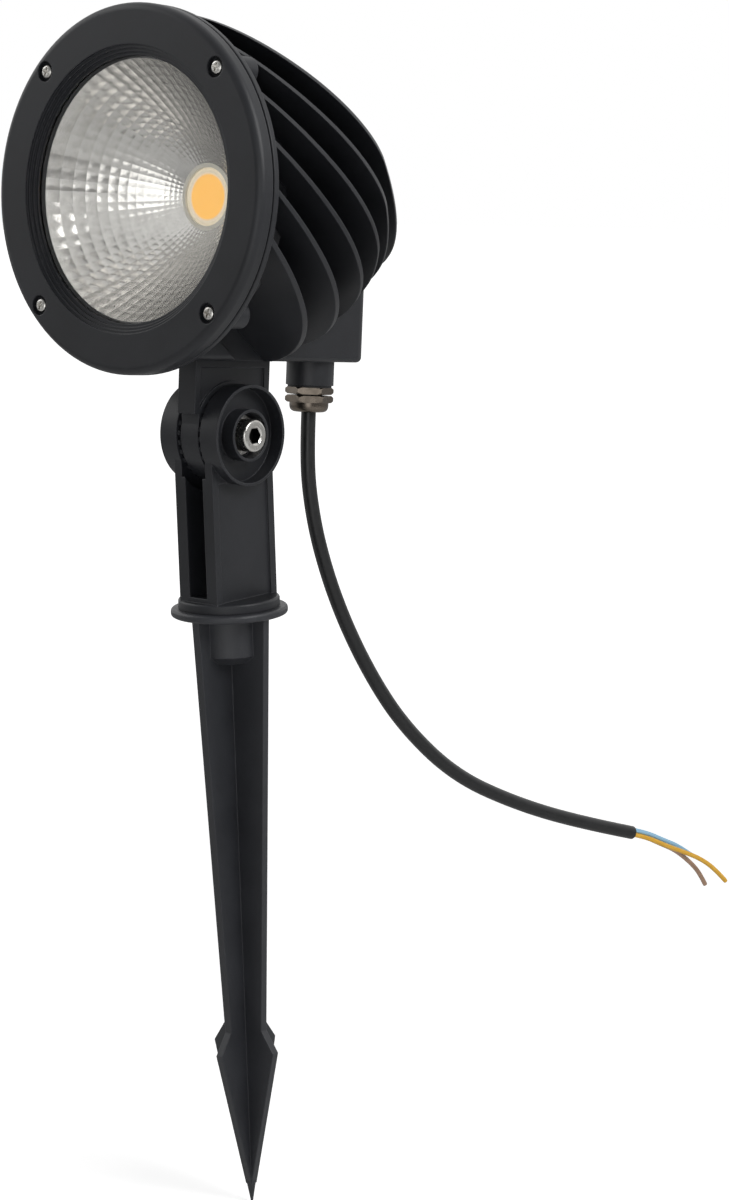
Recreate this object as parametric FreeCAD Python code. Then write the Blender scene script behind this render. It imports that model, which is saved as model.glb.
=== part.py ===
import FreeCAD, Part
import math
import os

# Garden spike spotlight: a finned lamp head that tilts on a toothed hinge, a post that swivels on the
# collar of a ground spike, and a short three-core lead that leaves through a cable gland.
#
# All sizes are in millimetres. The part stands with +Z up. Its origin is the middle of the underside of
# the spike's collar, which is level with the ground. The lamp shines towards -Y and +X is to its left.
# The head is modelled level, as "lamp" coordinates: Y runs back from the bezel's front along the beam,
# and Z = 0 is the beam's axis. It is then tilted about the hinge pin.

V = FreeCAD.Vector
ORIGIN = V(0, 0, 0)
X_AXIS = V(1, 0, 0)
Y_AXIS = V(0, 1, 0)
Z_AXIS = V(0, 0, 1)

# ---- driving dimensions -------------------------------------------------------------------------

# clearances
thread_gap = 0.05
running_gap = 0.06
slip_gap = 0.3
tooth_gap = 0.3

# where the head sits
head_tilt_deg = 6.0
pin_height = 74.3
pin_behind_bezel = 60.0
pin_below_axis = 93.6

# bezel, glass and gasket
bezel_radius = 70.6
bezel_depth = 6.6
bezel_edge_round = 3.0
bezel_width = 19.7
window_step_width = 1.3
window_step_depth = 1.1
window_steps = 3
glass_overlap = 6.4
glass_thickness = 2.4
glass_edge = 0.4
gasket_thickness = 1.0
gasket_recess = 1.0
gasket_overlap = 0.3

# bezel screws
bezel_screw_count = 4
bezel_screw_inset = 6.5
bezel_screw_turn_deg = 20.0
bezel_screw_radius = 1.5
bezel_screw_head_radius = 2.75
bezel_screw_head_height = 2.0
bezel_screw_sink = 2.4
bezel_screw_sink_gap = 1.2
bezel_screw_grip = 8.0
cross_recess_width = 0.9
cross_recess_depth = 1.1
cross_recess_share = 0.62
pan_head_round_share = 0.6

# housing: flange, drum, fins, web and terminal block
flange_thickness = 2.6
flange_edge_round = 0.5
screw_boss_radius = 5.4
screw_boss_length = 8.0
drum_wall = 3.6
drum_depth = 21.3
pedestal_radius = 27.0
pedestal_wall = 4.0
led_depth = 47.0
heat_wall = 5.5
fin_count = 6
fin_pitch = 18.0
fin_thickness = 1.9
fin_slope_deg = 37.5
fin_root = 0.8
top_fin_height = 75.3
dome_rise = 0.3
dome_front_inset = 2.6
dome_crown_inset = 1.6
dome_crown_distance = 44.4
dome_shoulder_inset = 10.7
dome_shoulder_distance = 86.0
dome_end_inset = 41.6
dome_end_distance = 135.0
web_half_width = 3.0
channel_half_width = 10.4
channel_top = 36.0
block_half_width = 14.0
block_bottom = 64.0
block_back = 132.2
block_top = 31.0
block_back_round = 6.0
block_edge_round = 2.2
block_front_height = 33.0
block_wall = 3.4
cavity_half_width = 7.6
cavity_front = 22.0
cavity_overlap = 1.0
gland_boss_radius = 10.0
gland_boss_length = 10.0
gland_distance = 112.3

# reflector and light source
reflector_mouth_gap = 0.7
reflector_back_radius = 13.2
reflector_wall = 1.0
reflector_rim_width = 1.8
reflector_rim_thickness = 1.2
reflector_rows = 11
holder_radius = 20.0
holder_thickness = 3.0
holder_opening_radius = 11.6
holder_opening_step = 0.6
source_plate_side = 27.0
source_plate_thickness = 1.5
phosphor_radius = 9.6
phosphor_thickness = 0.6
thermal_pad_thickness = 0.5
holder_screw_radius = 1.5
holder_screw_head_radius = 2.6
holder_screw_head_height = 1.4
holder_screw_sink = 1.6
holder_screw_circle_radius = 16.6
holder_screw_grip = 4.0

# driver board and its pieces
board_thickness = 1.6
board_front = 34.0
board_length = 66.0
board_height = 17.0
standoff_radius = 2.2
standoff_length = 2.0
board_screw_radius = 1.0
board_screw_head_radius = 1.9
board_screw_head_height = 1.2
board_screw_inset = 5.0
transformer_length = 17.0
transformer_width = 8.4
transformer_height = 13.0
capacitor_radius = 3.6
capacitor_length = 11.0
terminal_length = 10.0
terminal_width = 8.0
terminal_height = 11.0
board_piece_rise = 1.0
capacitor_places = (0.2, 0.76)
lead_radius = 0.8
lead_spacing = 4.0
supply_lead_spacing = 1.9
led_lead_turn = 2.5
led_lead_rise = 5.6
led_lead_run = 3.6
led_lead_end = 2.2

# tilt bracket under the block
bracket_half_thickness = 4.65
bracket_half_width = 21.8
bracket_disc_radius = 19.6
bracket_shoulder = 8.0
bracket_panel_depth = 0.9
bracket_panel_margin = 3.0
bracket_screw_radius = 2.0
bracket_screw_head_radius = 3.6
bracket_screw_head_height = 2.3
bracket_screw_spacing = 26.0
bracket_screw_grip = 11.0
bracket_cheek_share = 0.98
socket_share = 1.5

# toothed hinge
tooth_count = 30
tooth_height = 0.8
tooth_width = 1.9
tooth_inner_radius = 13.0
tooth_outer_radius = 19.0
pin_radius = 4.0
pin_head_radius = 6.5
pin_head_height = 8.0
pin_socket_across = 6.0
pin_socket_depth = 4.5
pin_head_round = 0.7
pin_washer_radius = 8.2
pin_washer_thickness = 1.0
nut_across = 13.0
nut_thickness = 6.5
pin_end_spare = 1.2

# ears and post
ear_radius = 20.3
ear_outer = 15.4
ear_floor = 2.4
cup_wall = 1.2
inner_ring_radius = 10.5
inner_ring_wall = 1.2
post_half_width = 10.25
post_half_depth = 18.0
post_slot_radius = 24.0
post_channel_half_width = 4.8
post_channel_depth = 30.0
post_floor = 6.0
post_panel_depth = 0.8
post_panel_margin = 3.4
foot_radius = 20.8
foot_height = 4.0
foot_round = 1.0

# ground spike
collar_radius = 24.0
collar_thickness = 3.3
collar_round = 1.2
spike_length = 257.0
spike_top_half_width = 20.3
spike_neck_half_width = 10.6
spike_neck_depth = 178.0
barb_half_width = 16.8
barb_depth = 187.0
spike_point_length = 8.0
spike_point_radius = 0.5
spike_point_root = 2.08
blade_thickness = 3.2
spike_boss_radius = 14.0
spike_boss_length = 16.0
spike_boss_taper = 3.5
spike_boss_end_radius = 9.5
insert_radius = 4.0
insert_length = 12.0
swivel_screw_radius = 2.5
swivel_screw_head_radius = 4.2
swivel_screw_head_height = 3.0
swivel_washer_thickness = 0.8
swivel_screw_grip = 10.0

# cable gland and lead
gland_across = 17.6
gland_hex_thickness = 3.2
gland_ring_thickness = 0.8
gland_thread_radius = 7.6
gland_thread_length = 9.0
gland_bore_radius = 5.6
gland_nut_hex_thickness = 3.2
gland_nut_turn_deg = 12.0
gland_nut_thread_step = 1.0
gland_ring_inset = 0.8
gland_dome_radius = 8.2
gland_dome_height = 4.0
gland_dome_round = 3.2
gland_seal_radius = 5.4
gland_seal_length = 7.0
jacket_radius = 3.1
core_radius = 1.1
core_gap = 0.06
core_straight = 8.0
entry_length = 22.0
run_share = 0.45

# The lead's own plane stands upright through the gland, turned this far from +X towards +Y.
lead_plane_deg = 72.0

# Route of the lead beyond the gland, as (distance out, height): straight down, then sweeping away.
lead_route = [
    (-1.2, 62.0),
    (-1.0, 43.5),
    (3.0, 19.5),
    (12.2, -9.0),
    (26.0, -38.0),
    (43.2, -64.6),
    (69.4, -91.0),
    (102.3, -109.4),
    (137.7, -124.2),
    (168.6, -134.6),
]

# Each core goes on from the jacket's cut end as (distance out, height, sideways) from that end.
core_routes = {
    "core_yellow_green": [
        (18.5, -9.2, 2.6),
        (28.5, -13.8, 2.8),
        (38.5, -18.9, 3.0),
        (47.0, -25.6, 3.3),
        (53.0, -32.4, 3.6),
    ],
    "core_blue": [
        (18.0, -6.6, -0.2),
        (28.0, -11.6, -0.6),
        (36.0, -17.6, -0.8),
    ],
    "core_brown": [
        (18.5, -9.2, -2.6),
        (27.5, -13.8, -3.4),
        (36.5, -21.2, -3.4),
        (42.5, -27.9, -3.2),
        (45.8, -34.4, -3.0),
    ],
}

# Where the cores lie in the jacket, as (up, sideways) on a circle of radius 1.
core_places = {
    "core_yellow_green": (-0.5, 0.866),
    "core_blue": (1.0, 0.0),
    "core_brown": (-0.5, -0.866),
}

# ---- sizes that follow ---------------------------------------------------------------------------

window_radius = bezel_radius - bezel_width
glass_radius = window_radius + glass_overlap
gasket_inner_radius = window_radius + gasket_overlap
bezel_screw_circle_radius = bezel_radius - bezel_screw_inset
dome_front_radius = bezel_radius - dome_front_inset
dome_crown_radius = bezel_radius - dome_crown_inset
dome_shoulder_radius = bezel_radius - dome_shoulder_inset
dome_end_radius = bezel_radius - dome_end_inset
bowl_mouth_radius = window_radius - reflector_mouth_gap
gasket_front = bezel_depth
flange_front = gasket_front + gasket_thickness
flange_back = flange_front + flange_thickness
glass_front = bezel_depth - glass_thickness
bezel_face_radius = window_radius + window_steps * window_step_width
rim_radius = bowl_mouth_radius + reflector_rim_width
drum_radius = bowl_mouth_radius + reflector_wall + slip_gap
holder_front = led_depth
holder_screw_seat = holder_front + holder_screw_sink
seat_distance = holder_front + holder_thickness
pad_front = seat_distance - thermal_pad_thickness
plate_front = pad_front - source_plate_thickness
cavity_floor = -block_bottom + block_wall
cavity_roof = -channel_top - pedestal_wall + cavity_overlap
cavity_back = gland_distance + gland_thread_radius + slip_gap
tooth_base = bracket_half_thickness
ear_inner = tooth_base + 2 * tooth_height + tooth_gap
cup_floor = ear_inner + ear_floor
pin_head_seat = cup_floor + pin_washer_thickness
fin_drop = fin_thickness / math.cos(math.radians(fin_slope_deg))
lowest_fin = top_fin_height - fin_pitch * (fin_count - 1)
block_slope_height = lowest_fin - fin_drop - (block_front_height - fin_pitch)
foot_bottom = collar_thickness
foot_top = foot_bottom + foot_height
channel_floor = foot_bottom + post_floor
post_top = pin_height - post_slot_radius
gland_exit = block_bottom + gland_boss_length + gland_ring_thickness + gland_hex_thickness
gland_exit = gland_exit + gland_nut_hex_thickness + gland_dome_height
reach = 4 * bezel_radius


# ---- small builders ------------------------------------------------------------------------------

def corner_arc(before, corner, after, radius):
    """Start, middle and end of the arc of this radius that rounds a corner between two straight runs."""
    back = (before - corner).normalize()
    ahead = (after - corner).normalize()
    half_angle = back.getAngle(ahead) / 2
    centre = corner + (back + ahead).normalize() * (radius / math.sin(half_angle))
    trim = radius / math.tan(half_angle)
    middle = centre + (corner - centre).normalize() * radius
    return corner + back * trim, middle, corner + ahead * trim


def rounded_wire(points, radii, closed):
    """A wire through the points, its corners rounded by the radii. A radius of 0 leaves one sharp."""
    count = len(points)
    ends = []
    for index, corner in enumerate(points):
        if radii[index] > 0:
            ends.append(corner_arc(points[index - 1], corner, points[(index + 1) % count], radii[index]))
        else:
            ends.append((corner, None, corner))
    edges = []
    for index in range(count):
        start, middle, end = ends[index]
        if middle is not None:
            edges.append(Part.Arc(start, middle, end).toShape())
        following = ends[(index + 1) % count][0]
        last = index == count - 1 and not closed
        if not last and end.distanceToPoint(following) > 1e-6:
            edges.append(Part.LineSegment(end, following).toShape())
    return Part.Wire(edges)


def turned(profile, radii=None, centre=ORIGIN, axis=Y_AXIS):
    """A solid turned about Y or Z. The profile holds (radius, distance along the axis) points."""
    if axis == Y_AXIS:
        points = [V(radius, along, 0) for radius, along in profile]
    else:
        points = [V(radius, 0, along) for radius, along in profile]
    if radii is None:
        radii = [0] * len(profile)
    face = Part.Face(rounded_wire(points, radii, True))
    solid = face.revolve(ORIGIN, axis, 360)
    solid.translate(centre)
    return solid


def rod(radius, start, end):
    """A round bar between two points."""
    return Part.makeCylinder(radius, start.distanceToPoint(end), start, end - start)


def bar(low, high):
    """A rectangular block between its lowest and highest corners."""
    return Part.makeBox(high[0] - low[0], high[1] - low[1], high[2] - low[2], V(*low))


def hexagon(across, low, high, axis):
    """A six-sided prism along Y, Z or X between two distances, by its width across flats."""
    corner_radius = across / math.sqrt(3)
    points = []
    for step in range(6):
        angle = math.radians(60 * step)
        u = corner_radius * math.cos(angle)
        v = corner_radius * math.sin(angle)
        if axis == X_AXIS:
            points.append(V(low, u, v))
        else:
            points.append(V(u, v, low))
    points.append(points[0])
    return Part.Face(Part.makePolygon(points)).extrude(axis * (high - low))


def tube(path, radius):
    """A round tube along a wire, square to its ends."""
    start = path.Edges[0].valueAt(path.Edges[0].FirstParameter)
    heading = path.Edges[0].tangentAt(path.Edges[0].FirstParameter)
    section = Part.Wire(Part.makeCircle(radius, start, heading))
    return path.makePipeShell([section], True, False)


def smooth_path(points):
    """The straight runs between points, joined by arcs that take a fixed share of the shorter run."""
    radii = [0]
    for before, corner, after in zip(points, points[1:], points[2:]):
        run = min(before.distanceToPoint(corner), corner.distanceToPoint(after))
        turn = (corner - before).getAngle(after - corner)
        radii.append(run_share * run / math.tan(turn / 2))
    radii.append(0)
    return rounded_wire(points, radii, False), radii[1:-1]


def on_circle(radius, angle, distance):
    """A point on a circle about the beam's axis, at a distance behind the bezel's front."""
    return V(radius * math.cos(angle), distance, radius * math.sin(angle))


def in_head(point):
    """Where a lamp point stands once the head is on its pin and tilted."""
    tilt = math.radians(head_tilt_deg)
    back = point.y - pin_behind_bezel
    up = point.z + pin_below_axis
    y = back * math.cos(tilt) + up * math.sin(tilt)
    z = pin_height - back * math.sin(tilt) + up * math.cos(tilt)
    return V(point.x, y, z)


def head(shape):
    """A lamp shape moved onto its pin and tilted."""
    moved = shape.copy()
    moved.translate(V(0, -pin_behind_bezel, pin_below_axis))
    moved.rotate(ORIGIN, X_AXIS, -head_tilt_deg)
    moved.translate(V(0, 0, pin_height))
    return moved


def fused(shapes):
    """One solid from overlapping shapes."""
    return shapes[0].multiFuse(shapes[1:]).removeSplitter()


def save(name, shape):
    """Write one named piece, or a group of like solids."""
    if isinstance(shape, list):
        shape = Part.makeCompound([solid for item in shape for solid in item.Solids])
    if not shape.isValid():
        raise ValueError(name + " is not a valid shape")
    shape.exportStep("parts/" + name + ".step")
    print(name, len(shape.Solids), "solid(s)", round(shape.Volume), "mm3")


# ---- lamp head -----------------------------------------------------------------------------------

def bezel_screw_angles():
    return [math.radians(45 + 360.0 * step / bezel_screw_count) for step in range(bezel_screw_count)]


def bezel_ring():
    """Front ring with a stepped mouth, a rear recess for the glass and a counterbore for each screw."""
    profile = [(bezel_radius, 0), (bezel_radius, bezel_depth), (glass_radius + slip_gap, bezel_depth)]
    profile.append((glass_radius + slip_gap, glass_front))
    profile.append((window_radius, glass_front))
    for step in range(window_steps):
        depth = (window_steps - step) * window_step_depth
        profile.append((window_radius + step * window_step_width, depth))
        profile.append((window_radius + (step + 1) * window_step_width, depth))
    profile.append((bezel_face_radius, 0))
    radii = [0] * len(profile)
    radii[0] = bezel_edge_round
    ring = turned(profile, radii)
    cuts = []
    for angle in bezel_screw_angles():
        face = on_circle(bezel_screw_circle_radius, angle, 0)
        floor = on_circle(bezel_screw_circle_radius, angle, bezel_screw_sink)
        back = on_circle(bezel_screw_circle_radius, angle, bezel_depth)
        cuts.append(rod(bezel_screw_head_radius + bezel_screw_sink_gap, face, floor))
        cuts.append(rod(bezel_screw_radius + slip_gap, face, back))
    return ring.cut(Part.makeCompound(cuts))


def cross_head_screw(radius, head_radius, head_height, tip, seat):
    """A pan-head screw along +Y whose head rises towards -Y from its seat, with a cross recess."""
    top = seat - head_height
    body = turned(
        [(0, top), (head_radius, top), (head_radius, seat), (radius, seat), (radius, tip), (0, tip)],
        [0, head_height * pan_head_round_share, 0, 0, 0, 0],
    )
    span = head_radius * cross_recess_share
    depth = top + cross_recess_depth
    half = cross_recess_width / 2
    across = bar((-span, top - 1, -half), (span, depth, half))
    upright = bar((-half, top - 1, -span), (half, depth, span))
    return body.cut(Part.makeCompound([across, upright]))


def bezel_screws():
    tip = flange_front + bezel_screw_grip
    screws = []
    for angle in bezel_screw_angles():
        screw = cross_head_screw(
            bezel_screw_radius, bezel_screw_head_radius, bezel_screw_head_height, tip, bezel_screw_sink
        )
        screw.rotate(ORIGIN, Y_AXIS, bezel_screw_turn_deg)
        screw.translate(on_circle(bezel_screw_circle_radius, angle, 0))
        screws.append(screw)
    return screws


def front_gasket():
    """Flat rubber ring between the bezel and the housing, which the glass also rests on."""
    ring = turned([
        (gasket_inner_radius, gasket_front),
        (bezel_radius - gasket_recess, gasket_front),
        (bezel_radius - gasket_recess, flange_front),
        (gasket_inner_radius, flange_front),
    ])
    holes = []
    for angle in bezel_screw_angles():
        holes.append(rod(
            bezel_screw_radius + slip_gap,
            on_circle(bezel_screw_circle_radius, angle, gasket_front),
            on_circle(bezel_screw_circle_radius, angle, flange_front),
        ))
    return ring.cut(Part.makeCompound(holes))


def glass_lens():
    return turned(
        [(0, glass_front), (glass_radius, glass_front), (glass_radius, gasket_front), (0, gasket_front)],
        [0, glass_edge, glass_edge, 0],
    )


def bowl_radius(distance):
    """Reflector bowl: a paraboloid, so its radius squared falls evenly with the distance back."""
    share = (led_depth - distance) / (led_depth - flange_front)
    back = reflector_back_radius ** 2
    return math.sqrt(back + (bowl_mouth_radius ** 2 - back) * share)


def reflector():
    """Thin bowl in rows of flat cones, with a rim that lies on the housing's ledge."""
    span = led_depth - flange_front
    stations = [flange_front + span * row / reflector_rows for row in range(reflector_rows + 1)]
    inside = [(bowl_radius(station), station) for station in stations]
    outside = [(radius + reflector_wall, station) for radius, station in reversed(inside)]
    rim_back = flange_front + reflector_rim_thickness
    outside[-1] = (bowl_radius(rim_back) + reflector_wall, rim_back)
    rim = [(rim_radius, rim_back), (rim_radius, flange_front)]
    return turned(inside + outside + rim)


def slope_slab(height, thickness):
    """A wide slab parallel to the fins. Its lower face crosses the flange's back at this height."""
    slab = bar((-reach, -reach, 0), (reach, reach, thickness))
    slab.rotate(ORIGIN, X_AXIS, -fin_slope_deg)
    slab.translate(V(0, flange_back, height))
    return slab


def dome(inset):
    """The round envelope that trims the fins: swelling to a crown, then closing as a cone."""
    overlap = flange_thickness / 2
    front = flange_back - overlap
    slope = (dome_shoulder_radius - dome_end_radius) / (dome_end_distance - dome_shoulder_distance)
    turn_in = dome_shoulder_distance - (dome_crown_radius - dome_shoulder_radius) / slope
    front_radius = dome_front_radius - inset
    crown_radius = dome_crown_radius - inset
    points = [
        V(0, front, 0),
        V(front_radius, front, 0),
        V(front_radius, flange_back, 0),
        V(crown_radius, dome_crown_distance, 0),
        V(dome_shoulder_radius - inset, dome_shoulder_distance, 0),
        V(dome_end_radius - inset, dome_end_distance, 0),
        V(0, dome_end_distance, 0),
    ]
    swell = Part.BezierCurve()
    swell.setPoles([points[2], V(crown_radius, (flange_back + dome_crown_distance) / 2, 0), points[3]])
    close = Part.BezierCurve()
    close.setPoles([points[3], V(crown_radius, turn_in, 0), points[4]])
    edges = [
        Part.LineSegment(points[0], points[1]).toShape(),
        Part.LineSegment(points[1], points[2]).toShape(),
        swell.toShape(),
        close.toShape(),
        Part.LineSegment(points[4], points[5]).toShape(),
        Part.LineSegment(points[5], points[6]).toShape(),
        Part.LineSegment(points[6], points[0]).toShape(),
    ]
    solid = Part.Face(Part.Wire(edges)).revolve(ORIGIN, Y_AXIS, 360)
    solid.translate(V(0, 0, dome_rise))
    return solid


def fin_heights():
    return [top_fin_height - fin_pitch * index for index in range(fin_count)]


def terminal_block():
    """Narrow box under the drum: rounded at its back corners and along its lower edge."""
    front = flange_front + flange_thickness / 2
    w = block_half_width
    corners = [(-w, front), (w, front), (w, block_back), (-w, block_back)]
    plan = [V(x, y, -block_bottom) for x, y in corners]
    outline = rounded_wire(plan, [0, 0, block_back_round, block_back_round], True)
    box = Part.Face(outline).extrude(V(0, 0, block_bottom - block_top))
    lower = []
    for edge in box.Edges:
        box_of_edge = edge.BoundBox
        if box_of_edge.ZMax < -block_bottom + 0.01 and box_of_edge.YMax > front + 0.01:
            lower.append(edge)
    return box.makeFillet(block_edge_round, lower)


def casting():
    """The casting before it is hollowed: flange, drum, wiring channel, terminal block and bosses."""
    flange = turned([
        (gasket_inner_radius, flange_front),
        (bezel_radius, flange_front),
        (bezel_radius, flange_back),
        (gasket_inner_radius, flange_back),
    ], [0, flange_edge_round, flange_edge_round, 0])
    outer = drum_radius + drum_wall
    neck = pedestal_radius + pedestal_wall
    core = turned([
        (0, flange_front),
        (outer, flange_front),
        (outer, flange_back + drum_depth),
        (neck, seat_distance),
        (neck, seat_distance + heat_wall),
        (0, seat_distance + heat_wall),
    ])
    channel = bar(
        (-channel_half_width, flange_front, -block_bottom),
        (channel_half_width, block_back - block_back_round, -channel_top),
    )
    front_slope = slope_slab(block_slope_height, reach)
    block = terminal_block().cut(dome(fin_root).common(front_slope))
    boss_mouth = V(0, gland_distance, -block_bottom - gland_boss_length)
    boss = rod(gland_boss_radius, boss_mouth, V(0, gland_distance, cavity_floor))
    screw_bosses = []
    for angle in bezel_screw_angles():
        start = on_circle(bezel_screw_circle_radius, angle, flange_front + flange_thickness / 2)
        end = on_circle(bezel_screw_circle_radius, angle, flange_back + screw_boss_length)
        screw_bosses.append(rod(screw_boss_radius, start, end))
    return fused([flange, core, channel, block, boss] + screw_bosses)


def cooling_fins():
    """Flat plates that slope down and back, trimmed by the dome and cut where they join the casting."""
    below_block = bar((-reach, -reach, -reach), (reach, reach, -block_bottom))
    envelope = dome(0).cut(below_block)
    solid_casting = casting()
    fins = []
    for height in fin_heights():
        plate = slope_slab(height - fin_drop, fin_thickness).common(envelope)
        fins.append(plate.cut(solid_casting))
    return fins


def fin_web():
    """The upright wall on the middle plane, in strips between the fins."""
    wall = bar(
        (-web_half_width, flange_back, -channel_top),
        (web_half_width, dome_end_distance, bezel_radius),
    )
    wall = wall.common(dome(0)).cut(slope_slab(top_fin_height - fin_drop, reach))
    return wall.cut(Part.makeCompound(cooling_fins())).cut(casting())


def housing():
    """One casting: flange, drum, wiring channel, terminal block and gland boss."""
    body = casting()
    ledge = flange_front + reflector_rim_thickness
    cuts = [turned([
        (0, flange_front),
        (rim_radius + slip_gap, flange_front),
        (rim_radius + slip_gap, ledge),
        (drum_radius, ledge),
        (drum_radius, flange_back + drum_depth - drum_wall),
        (pedestal_radius, seat_distance - holder_thickness),
        (pedestal_radius, seat_distance),
        (0, seat_distance),
    ])]
    cuts.append(bar(
        (-cavity_half_width, cavity_front, cavity_floor),
        (cavity_half_width, cavity_back, cavity_roof),
    ))
    boss_mouth = V(0, gland_distance, -block_bottom - gland_boss_length)
    cuts.append(rod(gland_thread_radius + thread_gap, boss_mouth, V(0, gland_distance, cavity_floor + 1)))
    for angle in bezel_screw_angles():
        start = on_circle(bezel_screw_circle_radius, angle, flange_front)
        end = on_circle(bezel_screw_circle_radius, angle, flange_front + bezel_screw_grip + slip_gap)
        cuts.append(rod(bezel_screw_radius + thread_gap, start, end))
    for side in (-1, 1):
        screw_x = side * holder_screw_circle_radius
        start = V(screw_x, seat_distance, 0)
        end = V(screw_x, seat_distance + holder_screw_grip + slip_gap, 0)
        cuts.append(rod(holder_screw_radius + thread_gap, start, end))
        screw_y = pin_behind_bezel + side * bracket_screw_spacing / 2
        low = V(0, screw_y, -block_bottom - 1)
        cuts.append(rod(bracket_screw_radius + slip_gap, low, V(0, screw_y, cavity_floor + 1)))
    body = body.cut(Part.makeCompound(cuts))
    posts = []
    for point in board_screw_points():
        wall = V(-cavity_half_width - 1, point.y, point.z)
        post = rod(standoff_radius, wall, V(-cavity_half_width + standoff_length, point.y, point.z))
        hole = rod(board_screw_radius + thread_gap, wall, V(0, point.y, point.z))
        posts.append(post.cut(hole))
    body = body.fuse(posts)
    for point in board_screw_points():
        wall = V(-cavity_half_width - 1, point.y, point.z)
        body = body.cut(rod(board_screw_radius + thread_gap, wall, V(0, point.y, point.z)))
    return body.removeSplitter()


# ---- light source --------------------------------------------------------------------------------

def thermal_pad():
    half = source_plate_side / 2
    return bar((-half, pad_front, -half), (half, seat_distance, half))


def source_plate():
    half = source_plate_side / 2
    return bar((-half, plate_front, -half), (half, pad_front, half))


def source_phosphor():
    return turned([
        (0, plate_front - phosphor_thickness),
        (phosphor_radius, plate_front - phosphor_thickness),
        (phosphor_radius, plate_front),
        (0, plate_front),
    ], [0, phosphor_thickness / 2, 0, 0])


def source_holder():
    """White ring that clamps the light source and carries the reflector's narrow end."""
    ring = turned([
        (holder_opening_radius, holder_front),
        (holder_radius, holder_front),
        (holder_radius, seat_distance),
        (holder_opening_radius + holder_opening_step, seat_distance),
        (holder_opening_radius + holder_opening_step, plate_front),
        (holder_opening_radius, plate_front),
    ])
    half = source_plate_side / 2 + slip_gap / 2
    recess = bar((-half, plate_front, -half), (half, seat_distance, half))
    cuts = [recess]
    for side in (-1, 1):
        face = V(side * holder_screw_circle_radius, holder_front, 0)
        seat = V(side * holder_screw_circle_radius, holder_screw_seat, 0)
        back = V(side * holder_screw_circle_radius, seat_distance, 0)
        cuts.append(rod(holder_screw_radius + slip_gap, face, back))
        cuts.append(rod(holder_screw_head_radius + slip_gap, face, seat))
    return ring.cut(Part.makeCompound(cuts))


def holder_screws():
    screws = []
    for side in (-1, 1):
        screw = cross_head_screw(
            holder_screw_radius,
            holder_screw_head_radius,
            holder_screw_head_height,
            seat_distance + holder_screw_grip,
            holder_screw_seat,
        )
        screw.translate(V(side * holder_screw_circle_radius, 0, 0))
        screws.append(screw)
    return screws


# ---- driver --------------------------------------------------------------------------------------

def board_back_x():
    return -cavity_half_width + standoff_length


def board_front_x():
    return board_back_x() + board_thickness


def board_low():
    return cavity_floor + slip_gap + bracket_screw_head_height


def board_screw_points():
    low = board_low() + board_height - board_screw_inset / 2
    return [
        V(0, board_front + board_screw_inset, low),
        V(0, board_front + board_length - board_screw_inset, low),
    ]


def driver_board():
    plate = bar(
        (board_back_x(), board_front, board_low()),
        (board_front_x(), board_front + board_length, board_low() + board_height),
    )
    holes = [rod(
        board_screw_radius + slip_gap / 2,
        V(board_back_x(), point.y, point.z),
        V(board_front_x(), point.y, point.z),
    ) for point in board_screw_points()]
    return plate.cut(Part.makeCompound(holes))


def driver_screws():
    screws = []
    for point in board_screw_points():
        shank = rod(
            board_screw_radius,
            V(-cavity_half_width, point.y, point.z),
            V(board_front_x(), point.y, point.z),
        )
        cap = rod(
            board_screw_head_radius,
            V(board_front_x(), point.y, point.z),
            V(board_front_x() + board_screw_head_height, point.y, point.z),
        )
        screws.append(shank.fuse(cap).removeSplitter())
    return screws


def driver_transformer():
    """Wound transformer: a ferrite frame round a bobbin, on the board's middle."""
    start = board_front + board_length / 2 - transformer_length / 2
    low = board_low() + board_piece_rise
    x = board_front_x()
    frame = bar(
        (x, start, low),
        (x + transformer_width, start + transformer_length, low + transformer_height),
    )
    window = transformer_length / 4
    coil_gap = bar(
        (x + transformer_width * 0.75, start + window, low - 1),
        (x + transformer_width + 1, start + transformer_length - window, low + transformer_height + 1),
    )
    return frame.cut(coil_gap)


def driver_capacitors():
    x = board_front_x() + capacitor_radius
    pieces = []
    for place in capacitor_places:
        y = board_front + board_length * place
        low = board_low() + board_piece_rise
        pieces.append(rod(capacitor_radius, V(x, y, low), V(x, y, low + capacitor_length)))
    return pieces


def terminal_strip():
    """Screw terminal at the board's back end, where the supply leads arrive."""
    end = board_front + board_length
    low = board_low() + board_piece_rise
    x = board_front_x()
    return bar((x, end - terminal_length, low), (x + terminal_width, end, low + terminal_height))


def supply_leads():
    """Three cores from the lead's inner end up and forward into the terminal strip."""
    start_z = -gland_exit + entry_length
    strip_z = board_low() + terminal_height * 0.6
    strip_y = board_front + board_length
    leads = []
    for offset in (-1, 0, 1):
        x = offset * supply_lead_spacing
        points = [V(x, gland_distance, start_z), V(x, gland_distance, strip_z), V(x, strip_y, strip_z)]
        leads.append(tube(smooth_path(points)[0], lead_radius))
    return leads


def led_leads():
    """Two wires from the board's front end, round the back of the reflector to the holder."""
    start_z = board_low() + board_height / 2
    turn_y = cavity_front + led_lead_turn
    outside = bowl_radius(turn_y) + reflector_wall
    drum_z = -(outside + drum_radius) / 2
    holder_middle = holder_front + holder_thickness / 2
    leads = []
    for side in (-1, 1):
        x = board_front_x() + lead_spacing / 2 + side * lead_spacing / 4
        points = [
            V(x, board_front, start_z),
            V(x, turn_y, start_z),
            V(x, turn_y + lead_radius, drum_z),
            V(x, holder_front - led_lead_run, -holder_radius - led_lead_rise),
            V(x, holder_middle, -holder_radius - led_lead_end),
            V(x, holder_middle, -math.sqrt(holder_radius ** 2 - x ** 2)),
        ]
        leads.append(tube(smooth_path(points)[0], lead_radius))
    return leads


# ---- tilt bracket and hinge ----------------------------------------------------------------------

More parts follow.
